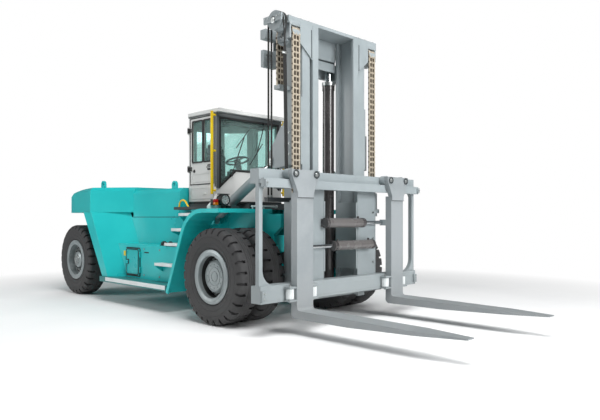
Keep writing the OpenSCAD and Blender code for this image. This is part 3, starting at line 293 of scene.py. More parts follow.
class Draft:
    """A mesh in the making, in metres, measured from the front axle's middle on the ground."""

    def __init__(self) -> None:
        """Starts an empty mesh."""
        self.bm: BMesh = bmesh.new()

    def soften(self, verts: Iterable[BMVert], width: float, segments: int = 2) -> None:
        """Rounds the edges between the given points.

        Args:
            verts: Points of one shape.
            width: How far the rounding reaches.
            segments: Steps across the rounding.
        """
        chosen = set(verts)
        edges = [e for e in self.bm.edges if e.verts[0] in chosen and e.verts[1] in chosen
                 and (len(e.link_faces) != 2 or e.calc_face_angle(0.0) > 0.4)]
        bmesh.ops.bevel(self.bm, geom=edges, offset=width, offset_type="OFFSET", affect="EDGES",
                        segments=segments, profile=0.5, material=-1, clamp_overlap=True)

    def block(self, x: Pair, y: Pair, z: Pair, round_by: float = 0.004, segments: int = 2) -> None:
        """Adds a block with rounded edges.

        Args:
            x: Its two ends along the truck, in either order.
            y: Its two ends across the truck.
            z: Its foot and top.
            round_by: Rounding of its edges.
            segments: Steps across the rounding.
        """
        low = Vector((min(x), min(y), min(z)))
        high = Vector((max(x), max(y), max(z)))
        size = high - low
        shape = Matrix.Translation((low + high) / 2) @ Matrix.Diagonal((*size, 1.0))
        verts = bmesh.ops.create_cube(self.bm, size=1.0, matrix=shape)["verts"]
        if round_by:
            self.soften(verts, min(round_by, 0.45 * min(size)), segments)

    def rod(self, start: Sequence[float], end: Sequence[float], radius: float, sides: int = 20,
            tip: float | None = None, round_by: float = 0.0) -> None:
        """Adds a round bar, cone or prism from one point to another.

        Args:
            start: Middle of its first end.
            end: Middle of its other end.
            radius: Radius at the first end.
            sides: Number of flats.
            tip: Radius at the other end, if it differs.
            round_by: Rounding of its edges.
        """
        a, b = Vector(start), Vector(end)
        axis = b - a
        turn = axis.to_track_quat("Z", "Y").to_matrix().to_4x4()
        made = bmesh.ops.create_cone(self.bm, cap_ends=True, cap_tris=False, segments=sides, radius1=radius,
                                     radius2=radius if tip is None else tip, depth=axis.length,
                                     matrix=Matrix.Translation((a + b) / 2) @ turn)
        if round_by:
            self.soften(made["verts"], round_by, 2)

    def lathe(self, profile: Sequence[Pair], centre: Sequence[float], axis: Sequence[float], steps: int = 48,
              closed: bool = True) -> list[BMFace]:
        """Spins a profile round an axis.

        Args:
            profile: Pairs of radius and distance along the axis.
            centre: Where the axis starts.
            axis: Its direction.
            steps: Number of flats in a full turn.
            closed: Whether the profile's last point joins its first.

        Returns:
            The new faces.
        """
        turn = Matrix.Translation(Vector(centre)) @ Vector(axis).to_track_quat("Z", "Y").to_matrix().to_4x4()
        old = set(self.bm.faces)
        points = [self.bm.verts.new(turn @ Vector((r, 0.0, d))) for r, d in profile]
        pairs = list(zip(points, points[1:] + points[:1])) if closed else list(zip(points, points[1:]))
        edges = [self.bm.edges.new(p) for p in pairs]
        bmesh.ops.spin(self.bm, geom=points + edges, cent=turn.translation,
                       axis=turn.to_3x3() @ Vector((0, 0, 1)), angle=math.tau, steps=steps,
                       use_merge=True, use_normal_flip=False)
        bmesh.ops.remove_doubles(self.bm, verts=[v for v in self.bm.verts if v.is_valid], dist=1e-5)
        return [f for f in self.bm.faces if f not in old]

    def face(self, outline: Sequence[Pair], across: str, at: float) -> BMFace:
        """Adds a flat face.

        Args:
            outline: Its points, in the order of the two other axes.
            across: The axis that it faces: x, y or z.
            at: Its place on that axis.

        Returns:
            The new face.
        """
        slot = "xyz".index(across)
        return self.bm.faces.new([self.bm.verts.new((*p[:slot], at, *p[slot:])) for p in outline])

    def raised(self, geom: Sequence, across: str, by: float) -> list[BMVert]:
        """Moves what an extrusion gave.

        Args:
            geom: The extrusion's new points, edges and faces.
            across: The axis to move along.
            by: How far.

        Returns:
            The points that were moved.
        """
        tops = [g for g in geom if isinstance(g, BMVert)]
        move = Vector((0.0, 0.0, 0.0))
        move["xyz".index(across)] = by
        bmesh.ops.translate(self.bm, verts=tops, vec=move)
        return tops

    def plate(self, outline: Sequence[Pair], across: str, low: float, high: float,
              round_by: float = 0.0) -> None:
        """Adds a plate with a drawn outline.

        Args:
            outline: Points in the plate's plane, in the order of the two other axes.
            across: The axis through its thickness: x, y or z.
            low: Its lower face along that axis.
            high: Its upper face.
            round_by: Rounding of its edges.
        """
        face = self.face(outline, across, low)
        grown = bmesh.ops.extrude_face_region(self.bm, geom=[face])
        tops = self.raised(grown["geom"], across, high - low)
        if round_by:
            self.soften(tops + list(face.verts), round_by, 2)

    def border(self, outline: Sequence[Pair], across: str, low: float, high: float, width: float) -> None:
        """Adds a frame that follows an outline.

        Args:
            outline: The frame's outer edge.
            across: The axis through its thickness.
            low: Its lower face along that axis.
            high: Its upper face.
            width: How far it reaches inwards.
        """
        face = self.face(outline, across, low)
        face.normal_update()
        ring = bmesh.ops.inset_region(self.bm, faces=[face], thickness=width, use_boundary=True,
                                      use_even_offset=True)["faces"]
        bmesh.ops.delete(self.bm, geom=[face], context="FACES_ONLY")
        grown = bmesh.ops.extrude_face_region(self.bm, geom=ring)
        self.raised(grown["geom"], across, high - low)

    def tube(self, path: Sequence[Sequence[float]], radius: float, sides: int = 12) -> None:
        """Sweeps a circle along a path by extruding it from point to point.

        Args:
            path: Points that the tube's middle passes.
            radius: Radius of the tube.
            sides: Number of flats.
        """
        points = [Vector(p) for p in path]
        tangents = [(points[min(i + 1, len(points) - 1)] - points[max(i - 1, 0)]).normalized()
                    for i in range(len(points))]
        turn = tangents[0].to_track_quat("Z", "Y")
        start = Matrix.Translation(points[0]) @ turn.to_matrix().to_4x4()
        ring = bmesh.ops.create_circle(self.bm, cap_ends=True, segments=sides, radius=radius,
                                       matrix=start)["verts"]
        edges = list({e for v in ring for e in v.link_edges})
        for i in range(1, len(points)):
            grown = bmesh.ops.extrude_edge_only(self.bm, edges=edges)["geom"]
            ring = [g for g in grown if isinstance(g, BMVert)]
            edges = [g for g in grown if isinstance(g, bmesh.types.BMEdge)]
            bend = tangents[i - 1].rotation_difference(tangents[i]).to_matrix()
            bmesh.ops.rotate(self.bm, verts=ring, cent=points[i - 1], matrix=bend)
            bmesh.ops.translate(self.bm, verts=ring, vec=points[i] - points[i - 1])
        bmesh.ops.contextual_create(self.bm, geom=edges)

    def bolt(self, foot: Sequence[float], axis: Sequence[float], radius: float = 0.014) -> None:
        """Adds a hexagon head on a washer.

        Args:
            foot: Middle of the washer, on the face that it stands on.
            axis: The way that the head points.
            radius: Radius of the head's corners.
        """
        a, d = Vector(foot), Vector(axis).normalized()
        self.rod(a - d * 0.002, a + d * radius * 0.35, radius * 1.35, 14)
        self.rod(a + d * radius * 0.3, a + d * radius * 1.2, radius, 6)

    def mirrored(self) -> None:
        """Copies everything drawn so far to the other side of the centre line."""
        copy = bmesh.ops.duplicate(self.bm,
                                   geom=self.bm.verts[:] + self.bm.edges[:] + self.bm.faces[:])["geom"]
        bmesh.ops.scale(self.bm, vec=(1.0, -1.0, 1.0), verts=[g for g in copy if isinstance(g, BMVert)])
        bmesh.ops.reverse_faces(self.bm, faces=[g for g in copy if isinstance(g, BMFace)])

    def finish(self, name: str, finish: bpy.types.Material, body: str, slot: str, angle: float = 35.0,
               replaces: Sequence[str] = (), ride: bool = True) -> bpy.types.Object:
        """Turns the draft into a piece that moves with a body.

        Args:
            name: The piece's name.
            finish: Its material.
            body: The body it rides on.
            slot: The record's material slot; not used.
            angle: Edges sharper than this stay sharp, in degrees.
            replaces: Nodes that the piece stands for.
            ride: False leaves the piece unattached to any body.

        Returns:
            The new object.
        """
        bmesh.ops.recalc_face_normals(self.bm, faces=self.bm.faces[:])
        bmesh.ops.translate(self.bm, verts=self.bm.verts[:], vec=(FRONT_AXLE_X, 0.0, 0.0))
        mesh = bpy.data.meshes.new(name)
        self.bm.to_mesh(mesh)
        self.bm.free()
        mesh.shade_smooth()
        mesh.set_sharp_from_angle(angle=math.radians(angle))
        mesh.materials.append(finish)
        piece = bpy.data.objects.new(name, mesh)
        bpy.context.scene.collection.objects.link(piece)
        if replaces:
            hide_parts(*replaces)
        if ride:
            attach(piece, body)
        LOG.info("%s: %d faces on %s", name, len(mesh.polygons), body)
        return piece


def rounded(u: Pair, v: Pair, radius: float, steps: int = 4) -> list[Pair]:
    """Lists the outline of a rectangle with round corners.

    Args:
        u: Low and high value on the first axis.
        v: Low and high value on the second axis.
        radius: Corner radius.
        steps: Straight pieces in each corner.

    Returns:
        The outline's points in order.
    """
    corners = [(u[1] - radius, v[1] - radius, 0), (u[0] + radius, v[1] - radius, 90),
               (u[0] + radius, v[0] + radius, 180), (u[1] - radius, v[0] + radius, 270)]
    turns = [90 * i / steps for i in range(steps + 1)]
    return [(a + radius * math.cos(math.radians(t + d)), b + radius * math.sin(math.radians(t + d)))
            for a, b, d in corners for t in turns]


def widened(span: Pair, by: float) -> Pair:
    """Moves both ends of a span outwards, or inwards where the distance is negative."""
    return span[0] - by, span[1] + by


def to_side(box: Box, s: float) -> Box:
    """Turns a box given for the left side, where y is positive, to the side whose sign is s."""
    x, y, z = box
    return x, (s * y[0], s * y[1]), z


class Finishes:
    """All materials of the truck, by the short names that the builders use."""

    SOLID = {
        # two-pack gloss enamel sprayed on plate: even, wet-looking, with faint tone drift over a panel
        "teal": Finish("teal_gloss_enamel", "#24C9C9", "#1FBDC0", 0.32, coat=0.15, patch_mm=1400, grain_mm=7,
                       bump=0.02, edge_mm=9),
        # satin enamel on rolled mast steel: mill texture shows through, handling marks in soft patches
        "mast_grey": Finish("grey_satin_enamel", "#99A2A5", "#919A9D", 0.4, patch_mm=700, grain_mm=5,
                            bump=0.05, edge_mm=6, dust="#7D7A73"),
        # satin enamel on forged forks: scuffed by loads
        "fork_grey": Finish("scuffed_fork_enamel", "#9DA3A6", "#939A9D", 0.42, metallic=0.1, patch_mm=420,
                            grain_mm=4, bump=0.08, edge_mm=8, dust="#6F6A63"),
        # dark chassis enamel: low sheen and dusty
        "dark": Finish("charcoal_chassis_enamel", "#3C4244", "#2F3436", 0.5, patch_mm=350, grain_mm=4,
                       bump=0.08, edge_mm=5, dust="#6F6B64"),
        # pale enamel on the cab's pressed panels: smooth, with broad soft highlights
        "cab": Finish("pale_grey_cab_enamel", "#DCDDDB", "#D3D5D3", 0.34, coat=0.2, patch_mm=600, grain_mm=6,
                      bump=0.02, edge_mm=10),
        # slate enamel on the cab's pillars: satin, so they read as one dark frame round the glass
        "cab_dark": Finish("slate_cab_enamel", "#5C6264", "#525859", 0.4, patch_mm=500, grain_mm=5, bump=0.03,
                           edge_mm=4),
        # safety yellow powder coat: slight orange peel
        "yellow": Finish("yellow_powder_coat", "#F6D41C", "#EDC70F", 0.36, patch_mm=200, grain_mm=6,
                         bump=0.06, edge_mm=3),
        # white powder coat on steps, bars and rollers: slight orange peel and soft highlights
        "white": Finish("white_powder_coat", "#E9EDED", "#DDE2E2", 0.4, patch_mm=260, grain_mm=6, bump=0.06,
                        edge_mm=4),
        # silver wheel enamel over cast and pressed steel: dull metal flake with dust on it
        "rim": Finish("silver_wheel_enamel", "#A3ACAE", "#8F999B", 0.4, metallic=0.35, patch_mm=160,
                      grain_mm=4, bump=0.08, edge_mm=5, dust="#7A756D"),
        # moulded tyre rubber: matte, with a bloom of road dust and fine pores
        "tyre": Finish("moulded_tyre_rubber", "#3E3E3F", "#353536", 0.72, patch_mm=240, grain_mm=2.5,
                       bump=0.25, dust="#5C5B59"),
        # extruded rubber of seals and hoses: black and dull, with fine pores
        "rubber": Finish("extruded_black_rubber", "#1E1F1F", "#181919", 0.62, patch_mm=120, grain_mm=2,
                         bump=0.15),
        # hard chrome on ground rods: mirror-like with fine oil streaks
        "chrome": Finish("hard_chrome_rod", "#E3E6E8", "#D3D8DB", 0.12, metallic=1.0, patch_mm=90, grain_mm=9,
                         bump=0.01, pattern=Pattern.BRUSH),
        # glossy stove enamel on cylinder barrels: long soft highlights
        "barrel": Finish("gloss_cylinder_enamel", "#464343", "#3C3A3A", 0.24, coat=0.4, patch_mm=300,
                         grain_mm=6, bump=0.02),
        # warm grey gloss enamel of the positioner cylinders: a bright streak along the barrel
        "positioner": Finish("warm_grey_cylinder_enamel", "#666362", "#5E5B5A", 0.27, coat=0.35, patch_mm=400,
                             grain_mm=6, bump=0.02),
        # oiled leaf-chain steel: warm grey with grease in the gaps
        "chain": Finish("oiled_chain_steel", "#BFB4A2", "#A89D8B", 0.4, metallic=0.25, patch_mm=40,
                        grain_mm=3, bump=0.08),
        # greased steel of the chain pins, also used for the chain's dark core strip, which is painted shade
        # between the bright plates
        "pin": Finish("greased_pin_steel_and_core_shade", "#4B4238", "#3A332B", 0.5, metallic=0.6, patch_mm=30, grain_mm=3,
                      bump=0.08),
        # sand-cast iron: rough skin under black paint
        "cast": Finish("black_painted_cast_iron", "#2B2D2E", "#202223", 0.6, patch_mm=120, grain_mm=4,
                       bump=0.35, dust="#6A655E"),
        # zinc plate on bolts and pin caps: bright, with small cloudy patches
        "zinc": Finish("zinc_plated_bolts", "#B9BDBC", "#A4A9A9", 0.34, metallic=0.9, patch_mm=25, grain_mm=3,
                       bump=0.05),
        # textured injection-moulded plastic: leather-like pores
        "plastic": Finish("textured_black_plastic", "#242626", "#1D1F1F", 0.55, patch_mm=150, grain_mm=2.5,
                          bump=0.3),
        # woven seat cloth; threads are drawn about 6 mm apart so that they show, with painted shade between
        # them
        "cloth": Finish("woven_seat_cloth", "#3A3E42", "#2F3236", 0.88, patch_mm=90, grain_mm=1.5, bump=0.35,
                        sheen=0.25, pattern=Pattern.WEAVE, pitch_mm=6),
        # rolled tread plate: diamonds raised every 40 mm, with painted shade darkening the flat between them
        "tread_teal": Finish("teal_tread_plate", "#2FB4B5", "#279FA1", 0.4, patch_mm=300, grain_mm=4,
                             bump=0.5, pattern=Pattern.STUDS, pitch_mm=40, dust="#7D7A72"),
        # punched safety grating, white enamel, holes every 36 mm, drawn dark as painted shade
        "grating": Finish("punched_step_grating", "#E3E7E7", "#D2D7D7", 0.45, patch_mm=200, grain_mm=4,
                          bump=0.6, pattern=Pattern.HOLES, pitch_mm=36),
        # vacuum-plated lamp reflector: bright, with a soft blur
        "mirror": Finish("vacuum_plated_reflector", "#F2F3F2", "#E4E6E6", 0.3, metallic=0.8, patch_mm=30,
                         grain_mm=6, bump=0.04),
        # dark teal strips in the panel gaps: painted shade of the gaps, with hardly a highlight
        "seam": Finish("painted_gap_shade", "#0B5A60", "#094C52", 0.7, patch_mm=100, grain_mm=3, bump=0.1),
    }
    CLEAR = {
        # toughened sheet glass: pale green tint and a slow ripple in what it mirrors
        "glass": ClearFinish(Tint.CAB, "#CBE9E4", 0.02, 0.92, 400),
        # pressed lamp glass: clear, with a fine ripple that breaks up the reflector behind it
        "lamp": ClearFinish(Tint.LAMP, "#FBFBF6", 0.05, 0.85, 12),
        # moulded red acrylic: half clear, with a soft sheen
        "red": ClearFinish(Tint.RED, "#C8201C", 0.12, 0.35, 10),
        # moulded amber acrylic: half clear, with a soft sheen
        "amber": ClearFinish(Tint.AMBER, "#F07E12", 0.12, 0.35, 10),
    }
    NODES = {
        "teal": "frame belly_plate counterweight arch_panels hood side_boxes fenders box_door",
        "tread_teal": "running_boards",
        "grating": "steps",
        "dark": "deck hose_bracket",
        "barrel": "lift_barrels",
        "positioner": "positioner_barrels",
        "mast_grey": "outer_mast tilt_brackets inner_mast carriage_frame carriage_columns tilt_barrels "
                     "fork_fittings_right fork_fittings_left",
        "fork_grey": "fork_right fork_left",
        "cab": "cab_body cab_roof cab_door_right cab_door_left",
        "yellow": "grab_rails",
        "rim": "rims_front_right rims_front_left rim_rear_right rim_rear_left",
        "tyre": "tyres_front_right tyres_front_left tyre_rear_right tyre_rear_left",
        "rubber": "hoses_rear hoses_front",
        "chrome": "lift_rods tilt_rods",
        "chain": "chains_rear chains_front",
        "cast": "engine drive_axle steer_axle knuckle_right knuckle_left rear_grille",
        "plastic": "console headlamps",
        "cloth": "seat",
        "glass": "cab_windows door_glass_right door_glass_left",
        "lamp": "lamp_lenses",
    }

    def __init__(self) -> None:
        """Builds every material once."""
        kinds: dict[str, Finish | ClearFinish] = {**self.SOLID, **self.CLEAR}
        self.made = {key: kind.build() for key, kind in kinds.items()}

    def __getitem__(self, key: str) -> bpy.types.Material:
        """Returns a material by its short name."""
        return self.made[key]

    def dress(self) -> None:
        """Gives every node of the frame its material."""
        for key, names in self.NODES.items():
            for name in names.split():
                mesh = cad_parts[name].data
                mesh.materials.clear()
                mesh.materials.append(self.made[key])
        LOG.info("dressed %d nodes", sum(len(n.split()) for n in self.NODES.values()))


@dataclass
class Studio:
    """Floor, soft light, white surroundings and the camera."""

    camera_at: Point = (7.869, -6.561, 1.521)
    camera_turn_deg: float = 45.166
    lens_mm: float = 35.84
    sensor_mm: float = 36.0
    rise: float = 0.0126
    floor_half: float = 60.0
    floor_colour: str = "#F4F5F5"
    floor_fade: Pair = (5.5, 9.0)
    world_strength: float = 0.13
    lamps_aim: Point = (0.0, 0.0, 1.4)

    def build(self) -> None:
        """Makes the whole studio."""
        bpy.context.scene.view_settings.view_transform = "Standard"
        self.world()
        self.floor()
        self.lamps()
        self.camera()

    def camera(self) -> None:
        """Places the camera at the photograph's viewpoint."""
        data = bpy.data.cameras.new("camera")
        data.lens = self.lens_mm
        data.sensor_width = self.sensor_mm
        data.shift_y = self.rise
        data.clip_end = 300.0
        eye = bpy.data.objects.new("camera", data)
        eye.location = self.camera_at
        eye.rotation_euler = (math.radians(90), 0.0, math.radians(self.camera_turn_deg))
        bpy.context.scene.collection.objects.link(eye)
        bpy.context.scene.camera = eye

    def world(self) -> None:
        """Surrounds the truck with soft white light that looks pure white to the camera."""
        world = bpy.data.worlds.new("studio")
        world.use_nodes = True
        bpy.context.scene.world = world
        tree = world.node_tree
        tree.nodes.clear()
        path = add_node(tree, "ShaderNodeLightPath")
        seen = add_node(tree, "ShaderNodeMath", {0: path.outputs["Is Camera Ray"],
                                                 1: path.outputs["Is Transmission Ray"]}, operation="MAXIMUM")
        soft = add_node(tree, "ShaderNodeBackground",
                        {"Color": linear("#F2F6FA"), "Strength": self.world_strength})
        white = add_node(tree, "ShaderNodeBackground", {"Color": (1.0, 1.0, 1.0, 1.0), "Strength": 1.0})
        both = add_node(tree, "ShaderNodeMixShader",
                        {0: seen.outputs[0], 1: soft.outputs[0], 2: white.outputs[0]})
        add_node(tree, "ShaderNodeOutputWorld", {"Surface": both.outputs[0]})

    def floor(self) -> None:
        """Lays a pale floor that keeps the truck's shadow and fades to white."""
        draft = bmesh.new()
        bmesh.ops.create_grid(draft, x_segments=8, y_segments=8, size=self.floor_half)
        mesh = bpy.data.meshes.new("floor")
        draft.to_mesh(mesh)
        draft.free()
        material = bpy.data.materials.new("pale_studio_floor")
        material.use_nodes = True
        tree = material.node_tree
        shader = tree.nodes["Principled BSDF"]
        shader.inputs["Roughness"].default_value = 0.9
        shader.inputs["Specular IOR Level"].default_value = 0.1
        place = add_node(tree, "ShaderNodeTexCoord").outputs["Object"]
        cloud = add_node(tree, "ShaderNodeTexNoise", {"Vector": place, "Scale": 0.7})
        tone = add_node(tree, "ShaderNodeMix", {0: cloud.outputs["Fac"], 6: linear(self.floor_colour),
                                                7: linear("#FFFFFF")}, data_type="RGBA")
        tree.links.new(tone.outputs[2], shader.inputs["Base Color"])
        path = add_node(tree, "ShaderNodeLightPath")
        far = add_node(tree, "ShaderNodeVectorMath", {0: place}, operation="LENGTH")
        fade = add_node(tree, "ShaderNodeMapRange",
                        {"Value": far.outputs["Value"], "From Min": self.floor_fade[0],
                         "From Max": self.floor_fade[1], "To Min": 0.0, "To Max": 1.0})
        share = add_node(tree, "ShaderNodeMath", {0: path.outputs["Is Camera Ray"],
                                                  1: fade.outputs["Result"]},
                         operation="MULTIPLY")
        white = add_node(tree, "ShaderNodeEmission", {"Color": (1.0, 1.0, 1.0, 1.0), "Strength": 1.0})
        both = add_node(tree, "ShaderNodeMixShader",
                        {0: share.outputs[0], 1: shader.outputs[0], 2: white.outputs[0]})
        tree.links.new(both.outputs[0], tree.nodes["Material Output"].inputs["Surface"])
        mesh.materials.append(material)
        floor = bpy.data.objects.new("floor", mesh)
        bpy.context.scene.collection.objects.link(floor)

    def lamps(self) -> None:
        """Hangs a large key lamp overhead, one in front and weaker ones at the side and the rear."""
        table = [("key_lamp", (6.0, -3.0, 13.0), 8.0, 1480.0), ("front_lamp", (14.0, 1.0, 5.5), 6.0, 1250.0),
                 ("side_lamp", (-7.0, -10.0, 5.0), 6.0, 420.0), ("rear_lamp", (-11.0, 6.0, 8.0), 8.0, 300.0)]
        for name, place, size, watts in table:
            data = bpy.data.lights.new(name, "AREA")
            data.shape = "DISK"
            data.size = size
            data.energy = watts
            lamp = bpy.data.objects.new(name, data)
            lamp.location = place
            aim = Vector(self.lamps_aim) - Vector(place)
            lamp.rotation_euler = aim.to_track_quat("-Z", "Y").to_euler()
            bpy.context.scene.collection.objects.link(lamp)


@dataclass
class SubAssembly:
    """A group of pieces that one class draws, dresses and hands to the bodies they ride on."""

    finishes: Finishes

    def piece(self, draft: Draft, name: str, finish: str, body: str, slot: str, angle: float = 35.0,
              replaces: Sequence[str] = (), ride: bool = True) -> bpy.types.Object:
        """Ends a draft with a finish given by its short name; the rest is as in Draft.finish."""
        return draft.finish(name, self.finishes[finish], body, slot, angle, replaces, ride)


@dataclass
class Tyres(SubAssembly):
    """Tyres with slots that run in from both shoulders of a smooth tread."""

    slots: int = 28
    steps_a_slot: int = 4
    slot_depth: float = 0.042
    slot_from: float = 0.604
    slot_to: float = 0.070
    slot_fade_from: float = 0.606
    slot_fade: float = 0.03
    front_y: Pair = (0.9, 1.36)
    rear_y: float = 1.16
    smooth_deg: float = 28
    half: tuple[Pair, ...] = (
        (0.345, 0.150), (0.394, 0.150), (0.398, 0.158), (0.410, 0.168), (0.440, 0.181), (0.462, 0.187),
        (0.466, 0.192), (0.476, 0.192), (0.480, 0.189), (0.520, 0.195), (0.556, 0.195), (0.560, 0.192),
        (0.566, 0.192), (0.570, 0.195), (0.605, 0.191), (0.636, 0.183), (0.661, 0.173), (0.677, 0.155),
        (0.685, 0.133), (0.685, 0.072), (0.685, 0.042), (0.680, 0.039), (0.680, 0.033), (0.685, 0.030),
        (0.685, 0.003), (0.681, 0.0))

    def tyre(self, draft: Draft, x: float, y: float) -> None:
        """Spins one tyre and sinks its slots.

        Args:
            draft: Mesh to draw in.
            x: Place of its axle.
            y: Middle of its width.
        """
        profile = [(r, d) for r, d in self.half] + [(r, -d) for r, d in reversed(self.half[:-1])]
        steps = self.slots * self.steps_a_slot
        faces = draft.lathe(profile, (x, y, AXLE_Z), (0, 1, 0), steps)
        chosen: list[BMFace] = []
        for face in faces:
            middle = face.calc_center_median()
            r = math.hypot(middle.x - x, middle.z - AXLE_Z)
            across = middle.y - y
            turn = math.atan2(middle.z - AXLE_Z, middle.x - x) % math.tau
            step = int(turn / math.tau * steps)
            stagger = 0 if across > 0 else self.steps_a_slot // 2
            in_slot = (step + stagger) % self.steps_a_slot == 0
            if in_slot and r > self.slot_from and abs(across) > self.slot_to:
                chosen.append(face)
        grown = bmesh.ops.extrude_face_region(draft.bm, geom=chosen)["geom"]
        bmesh.ops.delete(draft.bm, geom=chosen, context="FACES_ONLY")
        centre = Vector((x, y, AXLE_Z))
        for vert in (g for g in grown if isinstance(g, BMVert)):
            out = vert.co - centre
            out.y = 0.0
            share = min(1.0, max(0.0, (out.length - self.slot_fade_from) / self.slot_fade))
            vert.co -= out.normalized() * self.slot_depth * share

    def build(self) -> None:
        """Builds the tyres of all four wheels."""
        for side, s in SIDES.items():
            front = Draft()
            for y in self.front_y:
                self.tyre(front, 0.0, s * y)
            self.piece(front, f"treaded_tyres_front_{side}", "tyre", f"wheel_front_{side}", "tyre_rubber",
                       self.smooth_deg, [f"tyres_front_{side}"])
            rear = Draft()
            self.tyre(rear, REAR_AXLE_X, s * self.rear_y)
            self.piece(rear, f"treaded_tyre_rear_{side}", "tyre", f"wheel_rear_{side}", "tyre_rubber",
                       self.smooth_deg, [f"tyre_rear_{side}"])


@dataclass
class WheelHardware(SubAssembly):
    """Nuts, dishes and hub rings of the wheels, and black discs as painted shade in the rear hand holes;
    profiles pair a radius with a depth.
    """

    front_cover_y: float = 1.47
    front_flange_y: float = 1.37
    front_edge_y: float = 1.532
    front_nuts: int = 24
    front_nut_r: float = 0.272
    front_dish: tuple[Pair, ...] = (
        (0.230, -0.01), (0.230, 0.0), (0.296, 0.0), (0.299, 0.10), (0.302, 0.10), (0.302, -0.01))
    front_lip: tuple[Pair, ...] = (
        (0.303, -0.16), (0.31, 0.0), (0.345, 0.012), (0.386, 0.0), (0.386, -0.02), (0.332, -0.012),
        (0.306, -0.16))
    hub_ring_r: tuple[float, ...] = (0.07, 0.13, 0.198)
    hub_bolts: int = 12
    hub_bolt_r: float = 0.165
    rear_disc_y: float = 1.22
    rear_cover_y: float = 1.30
    rear_nuts: int = 12
    rear_nut_r: float = 0.205
    rear_dish: tuple[Pair, ...] = ((0.105, -0.006), (0.105, 0.002), (0.262, 0.002), (0.262, -0.006))
    rear_cap: tuple[Pair, ...] = ((0.05, 0.0), (0.09, 0.0), (0.085, 0.012), (0.055, 0.012))
    rear_ring: tuple[Pair, ...] = ((0.262, 0.0), (0.276, 0.0), (0.274, 0.01), (0.264, 0.01))
    cap_bolts: int = 8
    cap_bolt_r: float = 0.1
    rear_holes: int = 8
    rear_hole_r: float = 0.25
    hand_hole_shade_disc: tuple[Pair, ...] = ((0.0, 0.0), (0.024, 0.0), (0.026, 0.003), (0.0, 0.003))

    def ring_of(self, x: float, y: float, radius: float, count: int) -> list[Vector]:
        """Lists points evenly spaced round an axle."""
        return [Vector((x + radius * math.cos(a), y, AXLE_Z + radius * math.sin(a)))
                for a in (math.tau * i / count for i in range(count))]

    def build(self) -> None:
        """Builds the hardware of all four wheels."""
        for side, s in SIDES.items():
            out = Vector((0.0, s, 0.0))
            front_wheel, rear_wheel = f"wheel_front_{side}", f"wheel_rear_{side}"
            rear_disc = (REAR_AXLE_X, s * self.rear_disc_y, AXLE_Z)
            nuts = Draft()
            for p in self.ring_of(0.0, s * self.front_flange_y, self.front_nut_r, self.front_nuts):
                nuts.bolt(p, out, 0.017)
                nuts.rod(p + out * 0.015, p + out * 0.035, 0.009, 8)
            self.piece(nuts, f"wheel_nuts_front_{side}", "zinc", front_wheel, "rim_silver")
            dish = Draft()
            dish.lathe(self.front_dish, (0.0, s * self.front_flange_y, AXLE_Z), out, 64)
            self.piece(dish, f"wheel_dish_front_{side}", "cast", front_wheel, "cast_black")
            back = Draft()
            back.lathe(self.rear_dish, rear_disc, out, 48)
            self.piece(back, f"wheel_dish_rear_{side}", "cast", rear_wheel, "cast_black")
            hub = Draft()
            cover = s * self.front_cover_y
            for r in self.hub_ring_r:
                hub.lathe([(r - 0.008, 0.0), (r + 0.008, 0.0), (r + 0.005, 0.007), (r - 0.005, 0.007)],
                          (0.0, cover, AXLE_Z), out, 40)
            for p in self.ring_of(0.0, cover, self.hub_bolt_r, self.hub_bolts):
                hub.bolt(p, out, 0.008)
            hub.lathe(self.front_lip, (0.0, s * self.front_edge_y, AXLE_Z), out, 64)
            self.piece(hub, f"hub_rings_front_{side}", "rim", front_wheel, "rim_silver")
            rear = Draft()
            for p in self.ring_of(REAR_AXLE_X, s * self.rear_disc_y, self.rear_nut_r, self.rear_nuts):
                rear.bolt(p, out, 0.026)
                rear.rod(p + out * 0.02, p + out * 0.046, 0.012, 8)
            cover = s * self.rear_cover_y
            rear.lathe(self.rear_cap, (REAR_AXLE_X, cover, AXLE_Z), out, 32)
            for p in self.ring_of(REAR_AXLE_X, cover, self.cap_bolt_r, self.cap_bolts):
                rear.bolt(p, out, 0.008)
            rear.lathe(self.rear_ring, rear_disc, out, 48)
            self.piece(rear, f"wheel_nuts_rear_{side}", "zinc", rear_wheel, "rim_silver")
            # black discs where the rear wheel's hand holes are: painted shade of the holes
            hole_shade_discs = Draft()
            for p in self.ring_of(REAR_AXLE_X, s * (self.rear_disc_y + 0.001), self.rear_hole_r,
                                  self.rear_holes):
                hole_shade_discs.lathe(self.hand_hole_shade_disc, p, out, 16, False)
            self.piece(hole_shade_discs, f"hand_hole_shade_rear_{side}", "rubber", rear_wheel, "cast_black")


